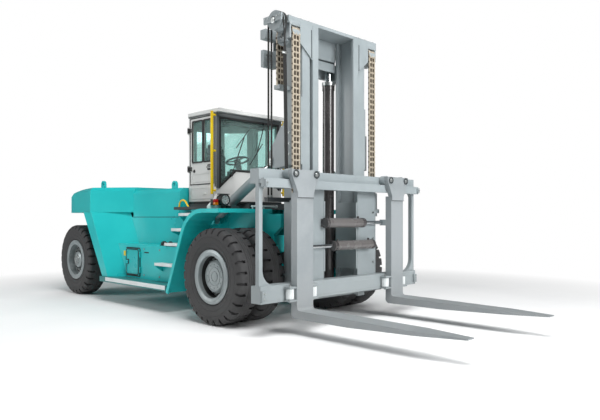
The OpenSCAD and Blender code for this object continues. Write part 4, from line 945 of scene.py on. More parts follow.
@dataclass
class LiftChains(SubAssembly):
    """Lift chains: waisted plates on broad cross pins, between the bodies they join."""

    y: float = 0.83
    width: float = 0.142
    leaves: tuple[Pair, ...] = ((0.0, 0.17), (0.47, 0.56), (0.85, 1.0))
    pitch: float = 0.081
    front_x: float = 0.997
    rear_x: float = 0.683
    wrap_r: float = 0.157
    wrap_swell: float = 0.007
    foot_z: float = 1.65
    anchor_z: float = 3.38
    end_reach: float = 0.013
    end_half: float = 0.015
    waist_half: float = 0.0105
    bush_r: float = 0.015
    pin_r: float = 0.0085
    pin_proud: float = 0.005
    shade_core_half: float = 0.004
    shade_core_inset: float = 0.004

    def link(self, draft: Draft, middle: Vector, along: Vector, y0: float, y1: float) -> None:
        """Adds one plate whose two round ends sit on neighbouring pins.

        Args:
            draft: Mesh to draw in.
            middle: The plate's middle.
            along: The way that the chain runs there.
            y0: One face of the plate.
            y1: Its other face.
        """
        side = Vector((along.z, 0.0, -along.x))
        ends = []
        for sign in (-1.0, 1.0):
            for turn in (-60, 0, 60):
                a = math.radians(turn)
                ends.append(middle + along * sign * (self.pitch / 2 + self.end_reach * math.cos(a))
                            + side * sign * self.end_half * math.sin(a))
            ends.append(middle + side * sign * self.waist_half)
        outline = [(p.x, p.z) for p in ends]
        draft.plate(outline, "y", y0, y1)

    def run(self, points: list[tuple[Vector, Vector]]) -> tuple[tuple[Draft, str, str], ...]:
        """Draws a stretch of chain: plates on bushes, with pins and a dark core strip between them that paints
        the shade inside the chain.

        Args:
            points: Middle of each pitch and the way that the chain runs there.

        Returns:
            The two mirrored drafts, each with its kind and the short name of its finish.
        """
        links, pins = Draft(), Draft()
        edge = self.y - self.width / 2
        for middle, along in points:
            for low, high in self.leaves:
                self.link(links, middle, along, edge + low * self.width, edge + high * self.width)
            pin = middle + along * self.pitch / 2
            links.rod((pin.x, edge, pin.z), (pin.x, edge + self.width, pin.z), self.bush_r, 12)
            pins.rod((pin.x, edge - self.pin_proud, pin.z),
                     (pin.x, edge + self.width + self.pin_proud, pin.z), self.pin_r, 8)
            # the dark core strip down the chain's middle is painted shade, seen between the plates
            side = Vector((along.z, 0.0, -along.x)) * self.shade_core_half
            corners = [middle + along * a * self.pitch * 0.5 + side * b
                       for a, b in ((-1, -1), (1, -1), (1, 1), (-1, 1))]
            pins.plate([(c.x, c.z) for c in corners], "y", edge + self.shade_core_inset,
                       self.y + self.width / 2 - self.shade_core_inset)
        links.mirrored()
        pins.mirrored()
        return (links, "links", "chain"), (pins, "pins", "pin")

    def straight(self, x: float, low: float, high: float) -> list[tuple[Vector, Vector]]:
        """Lists the pitches of a fall.

        Args:
            x: Place of the fall along the truck.
            low: Height of its lower end.
            high: Height of its upper end.

        Returns:
            Middle of each pitch and the way that the chain runs there.
        """
        count = round((high - low) / self.pitch)
        step = (high - low) / count
        return [(Vector((x, self.y, low + (i + 0.5) * step)), Vector((0.0, 0.0, 1.0))) for i in range(count)]

    def wrapped(self) -> list[tuple[Vector, Vector]]:
        """Lists the pitches over the sheave.

        Returns:
            Middle of each pitch and the way that the chain runs there.
        """
        count = round(math.pi * self.wrap_r / self.pitch)
        turns = [math.pi * (i + 0.5) / count for i in range(count)]
        reach = [self.wrap_r + self.wrap_swell * math.sin(a) for a in turns]
        x, z = CHAIN_SHEAVE
        return [(Vector((x + r * math.cos(a), self.y, z + r * math.sin(a))),
                 Vector((-math.sin(a), 0.0, math.cos(a)))) for a, r in zip(turns, reach)]

    def build(self) -> None:
        """Builds the falls and the turns over the sheaves on both sides."""
        top = CHAIN_SHEAVE[1]
        falls = {
            "front": (self.front_x, self.foot_z, "carriage", self.foot_z + 0.03),
            "rear": (self.rear_x, self.anchor_z, "outer_mast", self.anchor_z + 0.02),
        }
        for name, (x, foot, body, held_below) in falls.items():
            for draft, kind, finish in self.run(self.straight(x, foot, top)):
                piece = self.piece(draft, f"chain_{kind}_{name}", finish, body, "chain_steel", 30,
                                   [f"chains_{name}"] if kind == "links" else [], ride=False)
                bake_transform(piece)
        for draft, kind, finish in self.run(self.wrapped()):
            self.piece(draft, f"chain_{kind}_over_sheaves", finish, "inner_mast", "chain_steel", 30)


@dataclass
class MastHoses(SubAssembly):
    """Hydraulic hoses over their sheave on the right of the crosshead."""

    rear_x: float = 0.701
    front_x: float = 0.999
    y: tuple[float, ...] = (-1.006, -1.021, -1.063, -1.078)
    radius: float = 0.0075
    clamp_z: float = 3.74
    clamp_pitch: float = 0.016
    clamp_half: Point = (0.013, 0.042, 0.016)
    sheave: Pair = (0.85, 4.198)
    rise: float = 0.125
    rear_z: float = 1.80
    front_z: float = 1.98
    lead: float = 0.035
    fall_steps: int = 24
    turn_steps: int = 20
    smooth_deg: float = 40

    def gathered(self, y: float, z: float) -> float:
        """Draws a front hose together with the others at the clamp, and leads it inward below.

        Args:
            y: Where the hose leaves the sheave, across the truck.
            z: A height on the fall.

        Returns:
            The hose's place across the truck at that height.
        """
        middle = sum(self.y) / len(self.y)
        tight = middle + (self.y.index(y) - 1.5) * self.clamp_pitch
        if z >= self.clamp_z:
            return tight + (y - tight) * (z - self.clamp_z) / (self.sheave[1] - self.clamp_z)
        return tight + self.lead * (self.clamp_z - z) / (self.clamp_z - self.front_z)

    def build(self) -> None:
        """Builds both falls, their end fittings, the clamp and the turn over the sheave."""
        wrap_r = (self.front_x - self.rear_x) / 2
        top = self.sheave[1]
        falls = {"rear": (self.rear_x, self.rear_z, "outer_mast"),
                 "front": (self.front_x, self.front_z, "carriage")}
        for name, (x, foot, body) in falls.items():
            draft, ends = Draft(), Draft()
            heights = [foot + (top - foot) * i / self.fall_steps for i in range(self.fall_steps + 1)]
            for y in self.y:
                draft.tube([(x, self.gathered(y, z) if name == "front" else y, z) for z in heights],
                           self.radius)
                side = self.gathered(y, foot) if name == "front" else y
                ends.rod((x, side, foot - 0.05), (x, side, foot + 0.02), 0.0095, 6)
                ends.rod((x, side, foot + 0.015), (x, side, foot + 0.03), 0.009, 16, round_by=0.002)
            piece = self.piece(draft, f"hose_falls_{name}", "rubber", body, "hose_rubber", self.smooth_deg,
                               [f"hoses_{name}"], ride=False)
            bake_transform(piece)
            self.piece(ends, f"hose_ends_{name}", "zinc", body, "chrome_rod")
        over = Draft()
        turns = [math.pi * i / self.turn_steps for i in range(self.turn_steps + 1)]
        for y in self.y:
            over.tube([(self.sheave[0] - wrap_r * math.cos(a), y, top + self.rise * math.sin(a))
                       for a in turns], self.radius)
        clamp = Draft()
        middle = (self.front_x, sum(self.y) / len(self.y), self.clamp_z)
        clamp.block(*((m - h, m + h) for m, h in zip(middle, self.clamp_half)), round_by=0.004)
        self.piece(clamp, "hose_clamp_front", "zinc", "inner_mast", "chrome_rod")
        self.piece(over, "hose_turns_over_sheave", "rubber", "inner_mast", "hose_rubber", self.smooth_deg)


@dataclass
class CabTrim(SubAssembly):
    """Seals, handles, wipers and fittings of the cab and its two doors."""

    front: float = -0.96
    side: float = 0.72
    door_x: Pair = (-1.684, -1.006)
    door_z: Pair = (2.071, 3.194)
    panes: tuple[Pair, ...] = ((-1.61, -1.33), (-1.29, -1.08))
    pane_z: Pair = (2.45, 3.13)
    divider_x: Pair = (-1.318, -1.302)
    divider_z: Pair = (2.44, 3.14)
    latch_x: Pair = (-1.19, -1.03)
    latch_z: Pair = (2.30, 2.395)
    pull_x: Pair = (-1.175, -1.06)
    pull_z: Pair = (2.333, 2.362)
    lock: Pair = (-1.56, 2.30)
    lock_profile: tuple[Pair, ...] = ((0.0, 0.012), (0.024, 0.012), (0.028, 0.0), (0.0, 0.0))
    pressing_x: Pair = (-1.63, -1.06)
    pressing_z: Pair = (2.11, 2.26)
    waist_z: Pair = (2.412, 2.422)
    hinge: Pair = (-1.702, 0.74)
    hinge_z: Pair = (2.30, 2.95)
    front_glass: tuple[Pair, ...] = (
        (0.64, 2.01), (0.64, 3.15), (-0.64, 3.15), (-0.64, 2.01), (-0.3, 2.3), (0.3, 2.3))
    rear_glass: tuple[Pair, Pair] = ((-0.25, 0.25), (2.28, 3.12))
    rear_x: Pair = (-2.246, -2.236)
    pillar_y: Pair = (0.66, 0.718)
    pillar_z: Pair = (2.0, 3.225)
    pillar_side: Box = ((-0.998, -0.962), (0.7185, 0.724), (2.02, 3.22))
    header_z: Pair = (3.165, 3.225)
    gutter: Box = ((-1.71, -0.975), (-0.738, 0.738), (3.205, 3.222))
    roof_z: float = 3.29
    wiper_arms: tuple[tuple[Pair, Pair], ...] = (((-0.42, 2.22), (-0.16, 2.86)), ((0.30, 3.14), (0.12, 2.60)))
    blade_half: float = 0.24
    visor: Box = ((-1.12, -1.04), (-0.5, 0.5), (3.06, 3.15))
    dials: Box = ((-1.16, -1.10), (-0.30, 0.30), (2.285, 2.34))
    armrest: Box = ((-1.75, -1.40), (-0.54, -0.34), (2.24, 2.305))
    armrest_post: Box = ((-1.62, -1.46), (-0.50, -0.38), (2.09, 2.245))
    levers: int = 4
    foot_z: Pair = (1.748, 1.79)
    lower_panel: tuple[Pair, ...] = (
        (-1.66, 1.83), (-1.02, 1.83), (-1.02, 1.93), (-1.16, 2.02), (-1.66, 2.02))

    def doors(self) -> None:
        """Adds seals, a divider, a latch, hinge caps and a pressed border to both doors."""
        for side, s in SIDES.items():
            body = f"door_{side}"
            face = s * self.side
            seals = Draft()
            for pane in self.panes:
                seals.border(rounded(widened(pane, 0.018), widened(self.pane_z, 0.018), 0.03), "y",
                             face - s * 0.006, face + s * 0.007, 0.026)
            seals.block(self.divider_x, (face - s * 0.02, face + s * 0.006), self.divider_z, 0.003)
            seals.border(rounded(widened(self.door_x, -0.002), self.door_z, 0.02), "y",
                         face - s * 0.004, face + s * 0.004, 0.012)
            self.piece(seals, f"door_seals_{side}", "rubber", body, "hose_rubber")
            latch = Draft()
            latch.plate(rounded(self.latch_x, self.latch_z, 0.02), "y", face - s * 0.001, face + s * 0.008,
                        0.003)
            latch.block(self.pull_x, (face + s * 0.005, face + s * 0.036), self.pull_z, 0.008)
            latch.lathe(self.lock_profile, (self.lock[0], face, self.lock[1]), (0, s, 0), 24, False)
            x, y = self.hinge[0], s * self.hinge[1]
            for z in self.hinge_z:
                latch.rod((x, y, z - 0.002), (x, y, z + 0.082), 0.0215, 20, round_by=0.003)
                latch.block((x, x + 0.09), (face + s * 0.012, face + s * 0.019), (z + 0.004, z + 0.076),
                            0.003)
            self.piece(latch, f"door_latch_{side}", "plastic", body, "plastic_black")
            press = Draft()
            press.border(rounded(self.pressing_x, self.pressing_z, 0.04), "y", face - s * 0.002,
                         face + s * 0.005, 0.016)
            press.block(self.pressing_x, (face - s * 0.002, face + s * 0.004), self.waist_z, 0.002)
            self.piece(press, f"door_pressing_{side}", "cab", body, "paint_cab")

    def windows(self) -> None:
        """Adds the rubber round the fixed windows, the dark front pillars, the header and the gutter."""
        seals = Draft()
        middle = sum(self.pillar_z) / 2
        seals.border([(y * 1.03, z + (0.02 if z > middle else -0.02)) for y, z in self.front_glass],
                     "x", self.front - 0.004, self.front + 0.007, 0.035)
        seals.border(rounded(*self.rear_glass, 0.04), "x", *self.rear_x, 0.03)
        self.piece(seals, "cab_window_seals", "rubber", "chassis", "hose_rubber")
        pillars = Draft()
        for s in SIDES.values():
            (inner, outer), (low, high) = self.pillar_y, self.pillar_z
            pillars.plate([(s * inner, low), (s * outer, low), (s * outer, high), (s * inner, high)], "x",
                          self.front - 0.001, self.front + 0.01, 0.004)
            pillars.block(*to_side(self.pillar_side, s), 0.002)
        pillars.block((self.front, self.front + 0.012), (-self.pillar_y[0], self.pillar_y[0]), self.header_z,
                      0.003)
        pillars.block(*self.gutter, 0.004)
        self.piece(pillars, "cab_front_pillars", "cab_dark", "chassis", "paint_cab")

    def wipers(self) -> None:
        """Adds two wipers on the front glass and one on the roof."""
        arms = Draft()
        x = self.front + 0.03
        behind = Vector((0.016, 0, 0))
        for foot, tip in self.wiper_arms:
            a, b = Vector((x, *foot)), Vector((x, *tip))
            arms.rod(a, b, 0.009, 10)
            arms.rod(a - Vector((0.03, 0, 0)), a + Vector((0.012, 0, 0)), 0.022, 16, round_by=0.004)
            across = (b - a).normalized().cross(Vector((1.0, 0.0, 0.0)))
            lean = ((b - a).normalized() * 0.9 + across * 0.3).normalized()
            arms.rod(b - lean * self.blade_half - behind, b + lean * self.blade_half - behind, 0.008, 8)
        top = self.roof_z
        arms.rod((-1.25, 0.1, top + 0.035), (-1.02, -0.35, top + 0.03), 0.009, 10)
        arms.rod((-1.12, -0.55, top + 0.022), (-0.95, -0.18, top + 0.016), 0.008, 8)
        arms.rod((-1.25, 0.1, top + 0.01), (-1.25, 0.1, top + 0.05), 0.025, 16, round_by=0.004)
        self.piece(arms, "cab_wipers", "plastic", "chassis", "plastic_black")

    def inside(self) -> None:
        """Adds a sun visor, a dial housing, levers and the armrest that carries them."""
        fittings = Draft()
        fittings.block(*self.visor, 0.02, 3)
        fittings.block(*self.dials, 0.02, 3)
        for i in range(self.levers):
            back = 0.01 * i
            y = (-0.40 - 0.045 * i) * 0.9
            fittings.rod((-1.46 - back, y, 2.30), (-1.44 - back, y, 2.44), 0.007, 8)
            fittings.rod((-1.44 - back, y, 2.43), (-1.437 - back, y, 2.475), 0.017, 12, tip=0.014,
                         round_by=0.004)
        fittings.block(*self.armrest, 0.025, 3)
        fittings.block(*self.armrest_post, 0.01)
        self.piece(fittings, "cab_inside_fittings", "plastic", "chassis", "plastic_black")

    def under(self) -> None:
        """Adds the black strip under the cab and the pressed border of its lower side panels."""
        strip = Draft()
        for s in SIDES.values():
            strip.block((-1.715, -0.955), (s * 0.715, s * 0.728), self.foot_z, 0.004)
        strip.block((-0.965, -0.952), (-self.side, self.side), self.foot_z, 0.004)
        self.piece(strip, "cab_foot_strip", "rubber", "chassis", "hose_rubber")
        press = Draft()
        for s in SIDES.values():
            press.border(self.lower_panel, "y", s * 0.718, s * 0.7255, 0.014)
            press.block((-1.30, -1.22), (s * 0.718, s * 0.728), (1.90, 1.935), 0.004)
        self.piece(press, "cab_lower_pressing", "cab", "chassis", "paint_cab")

    def build(self) -> None:
        """Builds all the cab's trim."""
        for step in (self.doors, self.windows, self.wipers, self.inside, self.under):
            step()


@dataclass
class SeatPads(SubAssembly):
    """The driver's seat: swollen cushions with sewn channels on a bellows pedestal."""

    base: Box = ((-1.915, -1.435), (-0.245, 0.245), (2.135, 2.238))
    back: Box = ((-1.996, -1.914), (-0.235, 0.235), (2.262, 2.66))
    head: Box = ((-1.99, -1.92), (-0.15, 0.15), (2.69, 2.838))
    voxel: float = 0.011
    pressure: float = 4.0
    pressure_frames: int = 14
    swell_cap: float = 0.013
    channels: tuple[float, ...] = (-0.12, 0.0, 0.12)
    channel_half: float = 0.02
    channel_deep: float = 0.007
    pan: Box = ((-1.93, -1.43), (-0.225, 0.225), (2.115, 2.137))
    back_shell: Box = ((-2.008, -1.992), (-0.22, 0.22), (2.2, 2.78))
    elbow: Box = ((-2.006, -1.90), (-0.2, 0.2), (2.13, 2.2))
    folds: int = 6
    fold_z: float = 1.80
    fold_pitch: float = 0.053
    head_posts_y: float = 0.1

    def pad(self, name: str, box: Box, sewn: bool) -> None:
        """Makes one cushion: a remeshed block, swollen by pressure, with channels sewn in.

        Args:
            name: The piece's name.
            box: Low and high values on each axis.
            sewn: Whether lengthwise channels are sewn in.
        """
        draft = Draft()
        draft.block(*box, round_by=0.03, segments=4)
        piece = self.piece(draft, name, "cloth", "chassis", "seat_cloth", 60, ["seat"])
        remesh = piece.modifiers.new("even_mesh", "REMESH")
        remesh.mode = "VOXEL"
        remesh.voxel_size = self.voxel
        self.keep_result(piece)
        self.swell(piece)
        for vert in piece.data.vertices if sewn else ():
            near = min(abs(vert.co.y - c) for c in self.channels)
            if near < self.channel_half:
                sink = self.channel_deep * (1.0 - near / self.channel_half)
                vert.co -= vert.normal * sink
        smooth = piece.modifiers.new("round", "SUBSURF")
        smooth.levels = smooth.render_levels = 1
        self.keep_result(piece)
        piece.data.shade_smooth()

    def keep_result(self, piece: bpy.types.Object) -> None:
        """Replaces a piece's mesh by what its modifiers give.

        Args:
            piece: The piece.
        """
        shown = piece.evaluated_get(bpy.context.evaluated_depsgraph_get())
        mesh = bpy.data.meshes.new_from_object(shown)
        piece.modifiers.clear()
        piece.data = mesh

    def swell(self, piece: bpy.types.Object) -> None:
        """Blows a cushion up as cloth under pressure, and caps how far each point moves.

        Args:
            piece: The cushion.
        """
        cloth = piece.modifiers.new("pressure", "CLOTH")
        cloth.settings.use_pressure = True
        cloth.settings.uniform_pressure_force = self.pressure
        cloth.settings.effector_weights.gravity = 0.0
        cloth.settings.quality = 3
        scene = bpy.context.scene
        for step in range(1, self.pressure_frames + 1):
            scene.frame_set(step)
        shown = piece.evaluated_get(bpy.context.evaluated_depsgraph_get())
        grown = [v.co.copy() for v in shown.data.vertices]
        piece.modifiers.clear()
        scene.frame_set(1)
        for vert, new in zip(piece.data.vertices, grown):
            move = new - vert.co
            if move.length > self.swell_cap:
                move *= self.swell_cap / move.length
            vert.co += move

    def build(self) -> None:
        """Builds the cushions, the bellows pedestal, the shell and the headrest's posts."""
        self.pad("seat_cushion", self.base, True)
        self.pad("seat_backrest", self.back, True)
        self.pad("seat_headrest", self.head, False)
        shell = Draft()
        for i in range(self.folds):
            z = self.fold_z + self.fold_pitch * i
            inset = 0.008 * (i % 2)
            shell.block((-1.655 + inset, -1.452 - inset), (-0.19, 0.19), (z, z + 0.05), 0.014, 2)
        shell.block(*self.pan, 0.008)
        shell.block(*self.back_shell, 0.006)
        shell.block(*self.elbow, 0.012)
        for s in SIDES.values():
            y = s * self.head_posts_y
            shell.rod((-1.955, y, 2.65), (-1.955, y, 2.70), 0.008, 10)
        self.piece(shell, "seat_shell", "plastic", "chassis", "plastic_black", 35, ["seat"])


@dataclass
class BodyTrim(SubAssembly):
    """Painted shade in the hood's panel gaps, filler caps, step brackets, board edges and lamps of the chassis.
    """

    hood_x: Pair = (-3.30, -1.76)
    hood_y: float = 0.88
    hood_z: Pair = (1.53, 2.03)
    hood_joint: tuple[Pair, Pair] = ((-2.625, -2.615), (-0.80, 0.80))
    box_face: float = 1.15
    box_top: float = 1.045
    box_door_x: Pair = (-3.04, -2.59)
    box_door_z: Pair = (0.50, 0.97)
    box_door_thick: float = 0.0253
    strap_x: Pair = (-2.44, -2.30)
    strap_z: Pair = (0.905, 0.925)
    marker_x: Pair = (-3.165, -3.10)
    marker_z: Pair = (0.83, 0.92)
    latch_x: Pair = (-3.0, -2.93)
    latch_z: Pair = (0.69, 0.78)
    fillers: tuple[Pair, ...] = ((-2.02, 0.055), (-1.82, 0.045))
    filler_y: float = 1.02
    box_bolts_x: tuple[float, ...] = (-2.45, -1.95, -1.43)
    box_bolts_z: Pair = (0.52, 0.97)
    # rear end, front end, outer edge and top of each step
    steps: tuple[tuple[float, float, float, float], ...] = (
        (-1.87, -1.35, 1.30, 0.77), (-1.73, -1.26, 1.20, 1.10), (-1.68, -1.26, 1.10, 1.34),
        (-1.61, -1.26, 1.0, 1.59))
    board_x: Pair = (-3.29, -1.31)
    board_y: float = 1.45
    board_z: Pair = (0.36, 0.45)
    grip_x: Pair = (-1.15, -0.42)
    grip_y: Pair = (1.03, 1.18)
    hoop_y: float = 0.985
    hoop: tuple[Pair, ...] = (
        (-1.62, 1.69), (-1.60, 1.76), (-1.56, 1.80), (-1.50, 1.81), (-1.44, 1.79), (-1.34, 1.69))
    lamp: Point = (-0.225, 1.10, 1.785)
    lamp_r: float = 0.082
    reflector: tuple[Pair, ...] = ((0.0, -0.004), (0.02, -0.003), (0.045, 0.0005), (0.066, 0.003))
    bulb: tuple[Pair, ...] = ((0.0, 0.006), (0.014, 0.005), (0.018, 0.0), (0.0, 0.0))
    fender_z: float = 1.65
    marker_box_y: Pair = (1.205, 1.285)
    marker_box_z: Pair = (1.70, 1.792)
    red_z: Pair = (1.748, 1.789)
    amber_z: Pair = (1.703, 1.745)
    bar: Pair = (0.09, 1.69)
    bar_posts_y: Pair = (0.84, 0.62)
    rear_x: float = -5.80
    tail_y: Pair = (0.64, 0.80)
    tail_z: Pair = (1.72, 1.79)
    grille_y: Pair = (-0.54, 0.54)
    grille_z: Pair = (1.67, 1.85)
    tow_x: float = -5.70
    tow_z: Pair = (0.66, 0.87)

    def seams(self) -> None:
        """Adds dark teal strips under the hood's sides and across its top: painted shade in the panel gaps."""
        gaps = Draft()
        foot, top = self.hood_z
        for s in SIDES.values():
            y = (s * (self.hood_y - 0.002), s * (self.hood_y + 0.0012))
            gaps.block(self.hood_x, y, (foot - 0.006, foot + 0.006), 0)
        gaps.block(*self.hood_joint, (top - 0.002, top + 0.0012), 0)
        self.piece(gaps, "hood_gap_shade_strips", "seam", "chassis", "paint_teal")

    def door_outline(self, inset: float, radius: float) -> list[Pair]:
        """Returns the box door's outline, drawn inwards and with round corners."""
        return rounded(widened(self.box_door_x, -inset), widened(self.box_door_z, -inset), radius)

    def side_boxes(self) -> None:
        """Adds the box door's seal, edging and latch, a strap, a blank plate, the fillers and bolts."""
        face = -self.box_face
        front = face - self.box_door_thick
        seal, press, edging, plate, latch = Draft(), Draft(), Draft(), Draft(), Draft()
        rear_end, front_end = self.box_door_x
        seal.border(rounded((rear_end - 0.022, front_end + 0.014), widened(self.box_door_z, 0.02), 0.03), "y",
                    face + 0.001, face - 0.010, 0.019)
        seal.block(self.strap_x, (face + 0.001, face - 0.004), self.strap_z, 0.001)
        self.piece(seal, "box_door_seal", "rubber", "chassis", "hose_rubber")
        press.border(self.door_outline(0.03, 0.035), "y", front + 0.002, front - 0.006, 0.018)
        self.piece(press, "box_door_pressing", "teal", "box_door", "paint_teal")
        edging.border(self.door_outline(0.002, 0.05), "y", front + 0.004, front - 0.005, 0.018)
        self.piece(edging, "box_door_edging", "rubber", "box_door", "hose_rubber")
        plate.block(self.marker_x, (face + 0.001, face - 0.003), self.marker_z, 0.001)
        self.piece(plate, "box_marker_plate", "yellow", "chassis", "paint_yellow")
        latch.plate(rounded(self.latch_x, self.latch_z, 0.015), "y", front + 0.001, front - 0.007, 0.003)
        self.piece(latch, "box_door_latch", "plastic", "box_door", "plastic_black")
        caps, bolts = Draft(), Draft()
        for s in SIDES.values():
            y = s * self.filler_y
            for x, r in self.fillers:
                profile = [(0.0, 0.06), (r * 0.8, 0.06), (r, 0.048), (r, 0.012), (r + 0.01, 0.010),
                           (r + 0.01, 0.0), (0.0, 0.0)]
                caps.lathe(profile, (x, y, self.box_top), (0, 0, 1), 24, False)
                caps.block((x - r * 0.8, x + r * 0.8), (y - 0.008, y + 0.008),
                           (self.box_top + 0.058, self.box_top + 0.075), 0.004)
            for x in self.box_bolts_x:
                for z in self.box_bolts_z:
                    bolts.bolt((x, s * self.box_face, z), (0, s, 0), 0.011)
        self.piece(caps, "filler_caps", "plastic", "chassis", "plastic_black")
        self.piece(bolts, "side_box_bolts", "zinc", "chassis", "chrome_rod")

    def walkway(self) -> None:
        """Adds step brackets, nosings, the boards' pale edges, grip strips and the deck's hoops."""
        brackets, noses, grip, hoops = Draft(), Draft(), Draft(), Draft()
        for s in SIDES.values():
            for rear, front, outer, top in self.steps:
                inner = self.box_face if top < self.box_top else self.hood_y
                reach = s * (outer - 0.01)
                outline = [(s * inner, top - 0.042), (reach, top - 0.042), (reach, top - 0.062),
                           (s * inner, top - 0.15)]
                for x in (rear + 0.006, front - 0.022):
                    brackets.plate(outline, "x", x, x + 0.014)
                noses.block((rear, front), (s * (outer - 0.006), s * (outer + 0.003)),
                            (top - 0.043, top + 0.004), 0.002)
            noses.block(self.board_x, (s * (self.board_y - 0.003), s * (self.board_y + 0.002)),
                        (self.board_z[0] + 0.02, self.board_z[1] - 0.002), 0.001)
            grip.block(*to_side((self.grip_x, self.grip_y, (self.fender_z, self.fender_z + 0.006)), s), 0.002)
            hoops.tube([(x, s * self.hoop_y, z) for x, z in self.hoop], 0.014)
        self.piece(hoops, "deck_grab_hoops", "yellow", "chassis", "paint_yellow")
        self.piece(brackets, "step_brackets", "teal", "chassis", "paint_teal")
        self.piece(noses, "step_nosings", "white", "chassis", "paint_white")
        self.piece(grip, "fender_grip_strips", "plastic", "chassis", "plastic_black")

    def lamps(self) -> None:
        """Adds lamp brackets, bezels, reflectors, indicators and the bars ahead of the deck."""
        x, y, z = self.lamp
        foot, r = self.fender_z, self.lamp_r
        holders, bezels, mirrors, reds, ambers = Draft(), Draft(), Draft(), Draft(), Draft()
        for s in SIDES.values():
            at = (x, s * y, z)
            back = [(1.335, foot), (1.335, 1.69), (1.15, 1.878), (1.03, 1.878), (0.985, 1.80), (0.985, foot)]
            holders.plate([(s * a, b) for a, b in back], "x", x - 0.14, x - 0.115, 0.004)
            holders.plate([(x - 0.13, foot), (x - 0.02, foot), (x - 0.02, 1.70), (x - 0.13, 1.80)], "y",
                          s * 1.0 - 0.006, s * 1.0 + 0.006, 0.002)
            bezels.lathe([(r - 0.012, -0.01), (r - 0.012, 0.008), (r + 0.006, 0.004), (r + 0.006, -0.02)],
                         at, (1, 0, 0), 40)
            bezels.block((x - 0.10, x + 0.01), (s * y - 0.075, s * y + 0.075), (z + 0.078, z + 0.09), 0.004)
            mirrors.lathe(self.reflector, at, (1, 0, 0), 32, False)
            mirrors.lathe(self.bulb, at, (1, 0, 0), 20, False)
            bezels.block(*to_side(((x - 0.118, x - 0.06), self.marker_box_y, self.marker_box_z), s), 0.004)
            lens_y = widened(self.marker_box_y, -0.004)
            reds.block(*to_side(((x - 0.062, x - 0.022), lens_y, self.red_z), s), 0.006, 3)
            ambers.block(*to_side(((x - 0.062, x - 0.022), lens_y, self.amber_z), s), 0.006, 3)
        self.piece(holders, "headlamp_brackets", "cab", "chassis", "paint_white")
        self.piece(bezels, "lamp_bezels", "plastic", "chassis", "plastic_black")
        self.piece(mirrors, "lamp_reflectors", "mirror", "chassis", "lamp_glass")
        self.piece(reds, "front_marker_lenses", "red", "chassis", "lamp_glass")
        self.piece(ambers, "front_indicator_lenses", "amber", "chassis", "lamp_glass")
        bars = Draft()
        x, z = self.bar
        for s in SIDES.values():
            bars.rod((x, s * 0.86, z), (x, s * 0.36, z), 0.014, 14, round_by=0.004)
            bars.rod((x, s * 0.37, z), (x, s * 0.345, z), 0.021, 14, round_by=0.004)
            for at in self.bar_posts_y:
                bars.rod((x, s * at, foot), (x, s * at, z), 0.010, 10)
        self.piece(bars, "front_step_bars", "white", "chassis", "paint_white")

    def rear(self) -> None:
        """Adds the rims and lenses of the tail lamps, the grille's frame and the tow pin."""
        rims, lenses, pin = Draft(), Draft(), Draft()
        rim_y, rim_z = widened(self.tail_y, 0.015), widened(self.tail_z, 0.015)
        for s in SIDES.values():
            across = (min(s * rim_y[0], s * rim_y[1]), max(s * rim_y[0], s * rim_y[1]))
            rims.border(rounded(across, rim_z, 0.015), "x", self.rear_x + 0.008, self.rear_x, 0.014)
            lenses.block(*to_side(((self.rear_x + 0.0002, self.rear_x + 0.004), self.tail_y, self.tail_z), s),
                         0.001)
        rims.border(rounded(self.grille_y, self.grille_z, 0.02), "x", self.rear_x + 0.005, self.rear_x, 0.018)
        self.piece(rims, "rear_lamp_rims", "plastic", "chassis", "plastic_black")
        self.piece(lenses, "tail_lamp_lenses", "red", "chassis", "lamp_glass")
        x, (low, high) = self.tow_x, self.tow_z
        pin.rod((x, 0.0, low), (x, 0.0, high), 0.0305, 20, round_by=0.004)
        pin.rod((x, 0.0, high - 0.002), (x, 0.0, high + 0.015), 0.045, 20, round_by=0.004)
        pin.tube([(x + 0.05 * math.cos(a), 0.0, high + 0.015 + 0.06 * math.sin(a))
                  for a in (math.pi * i / 12 for i in range(13))], 0.008, 10)
        self.piece(pin, "tow_pin", "zinc", "chassis", "chrome_rod")

    def build(self) -> None:
        """Builds all the chassis trim."""
        for step in (self.seams, self.side_boxes, self.walkway, self.lamps, self.rear):
            step()


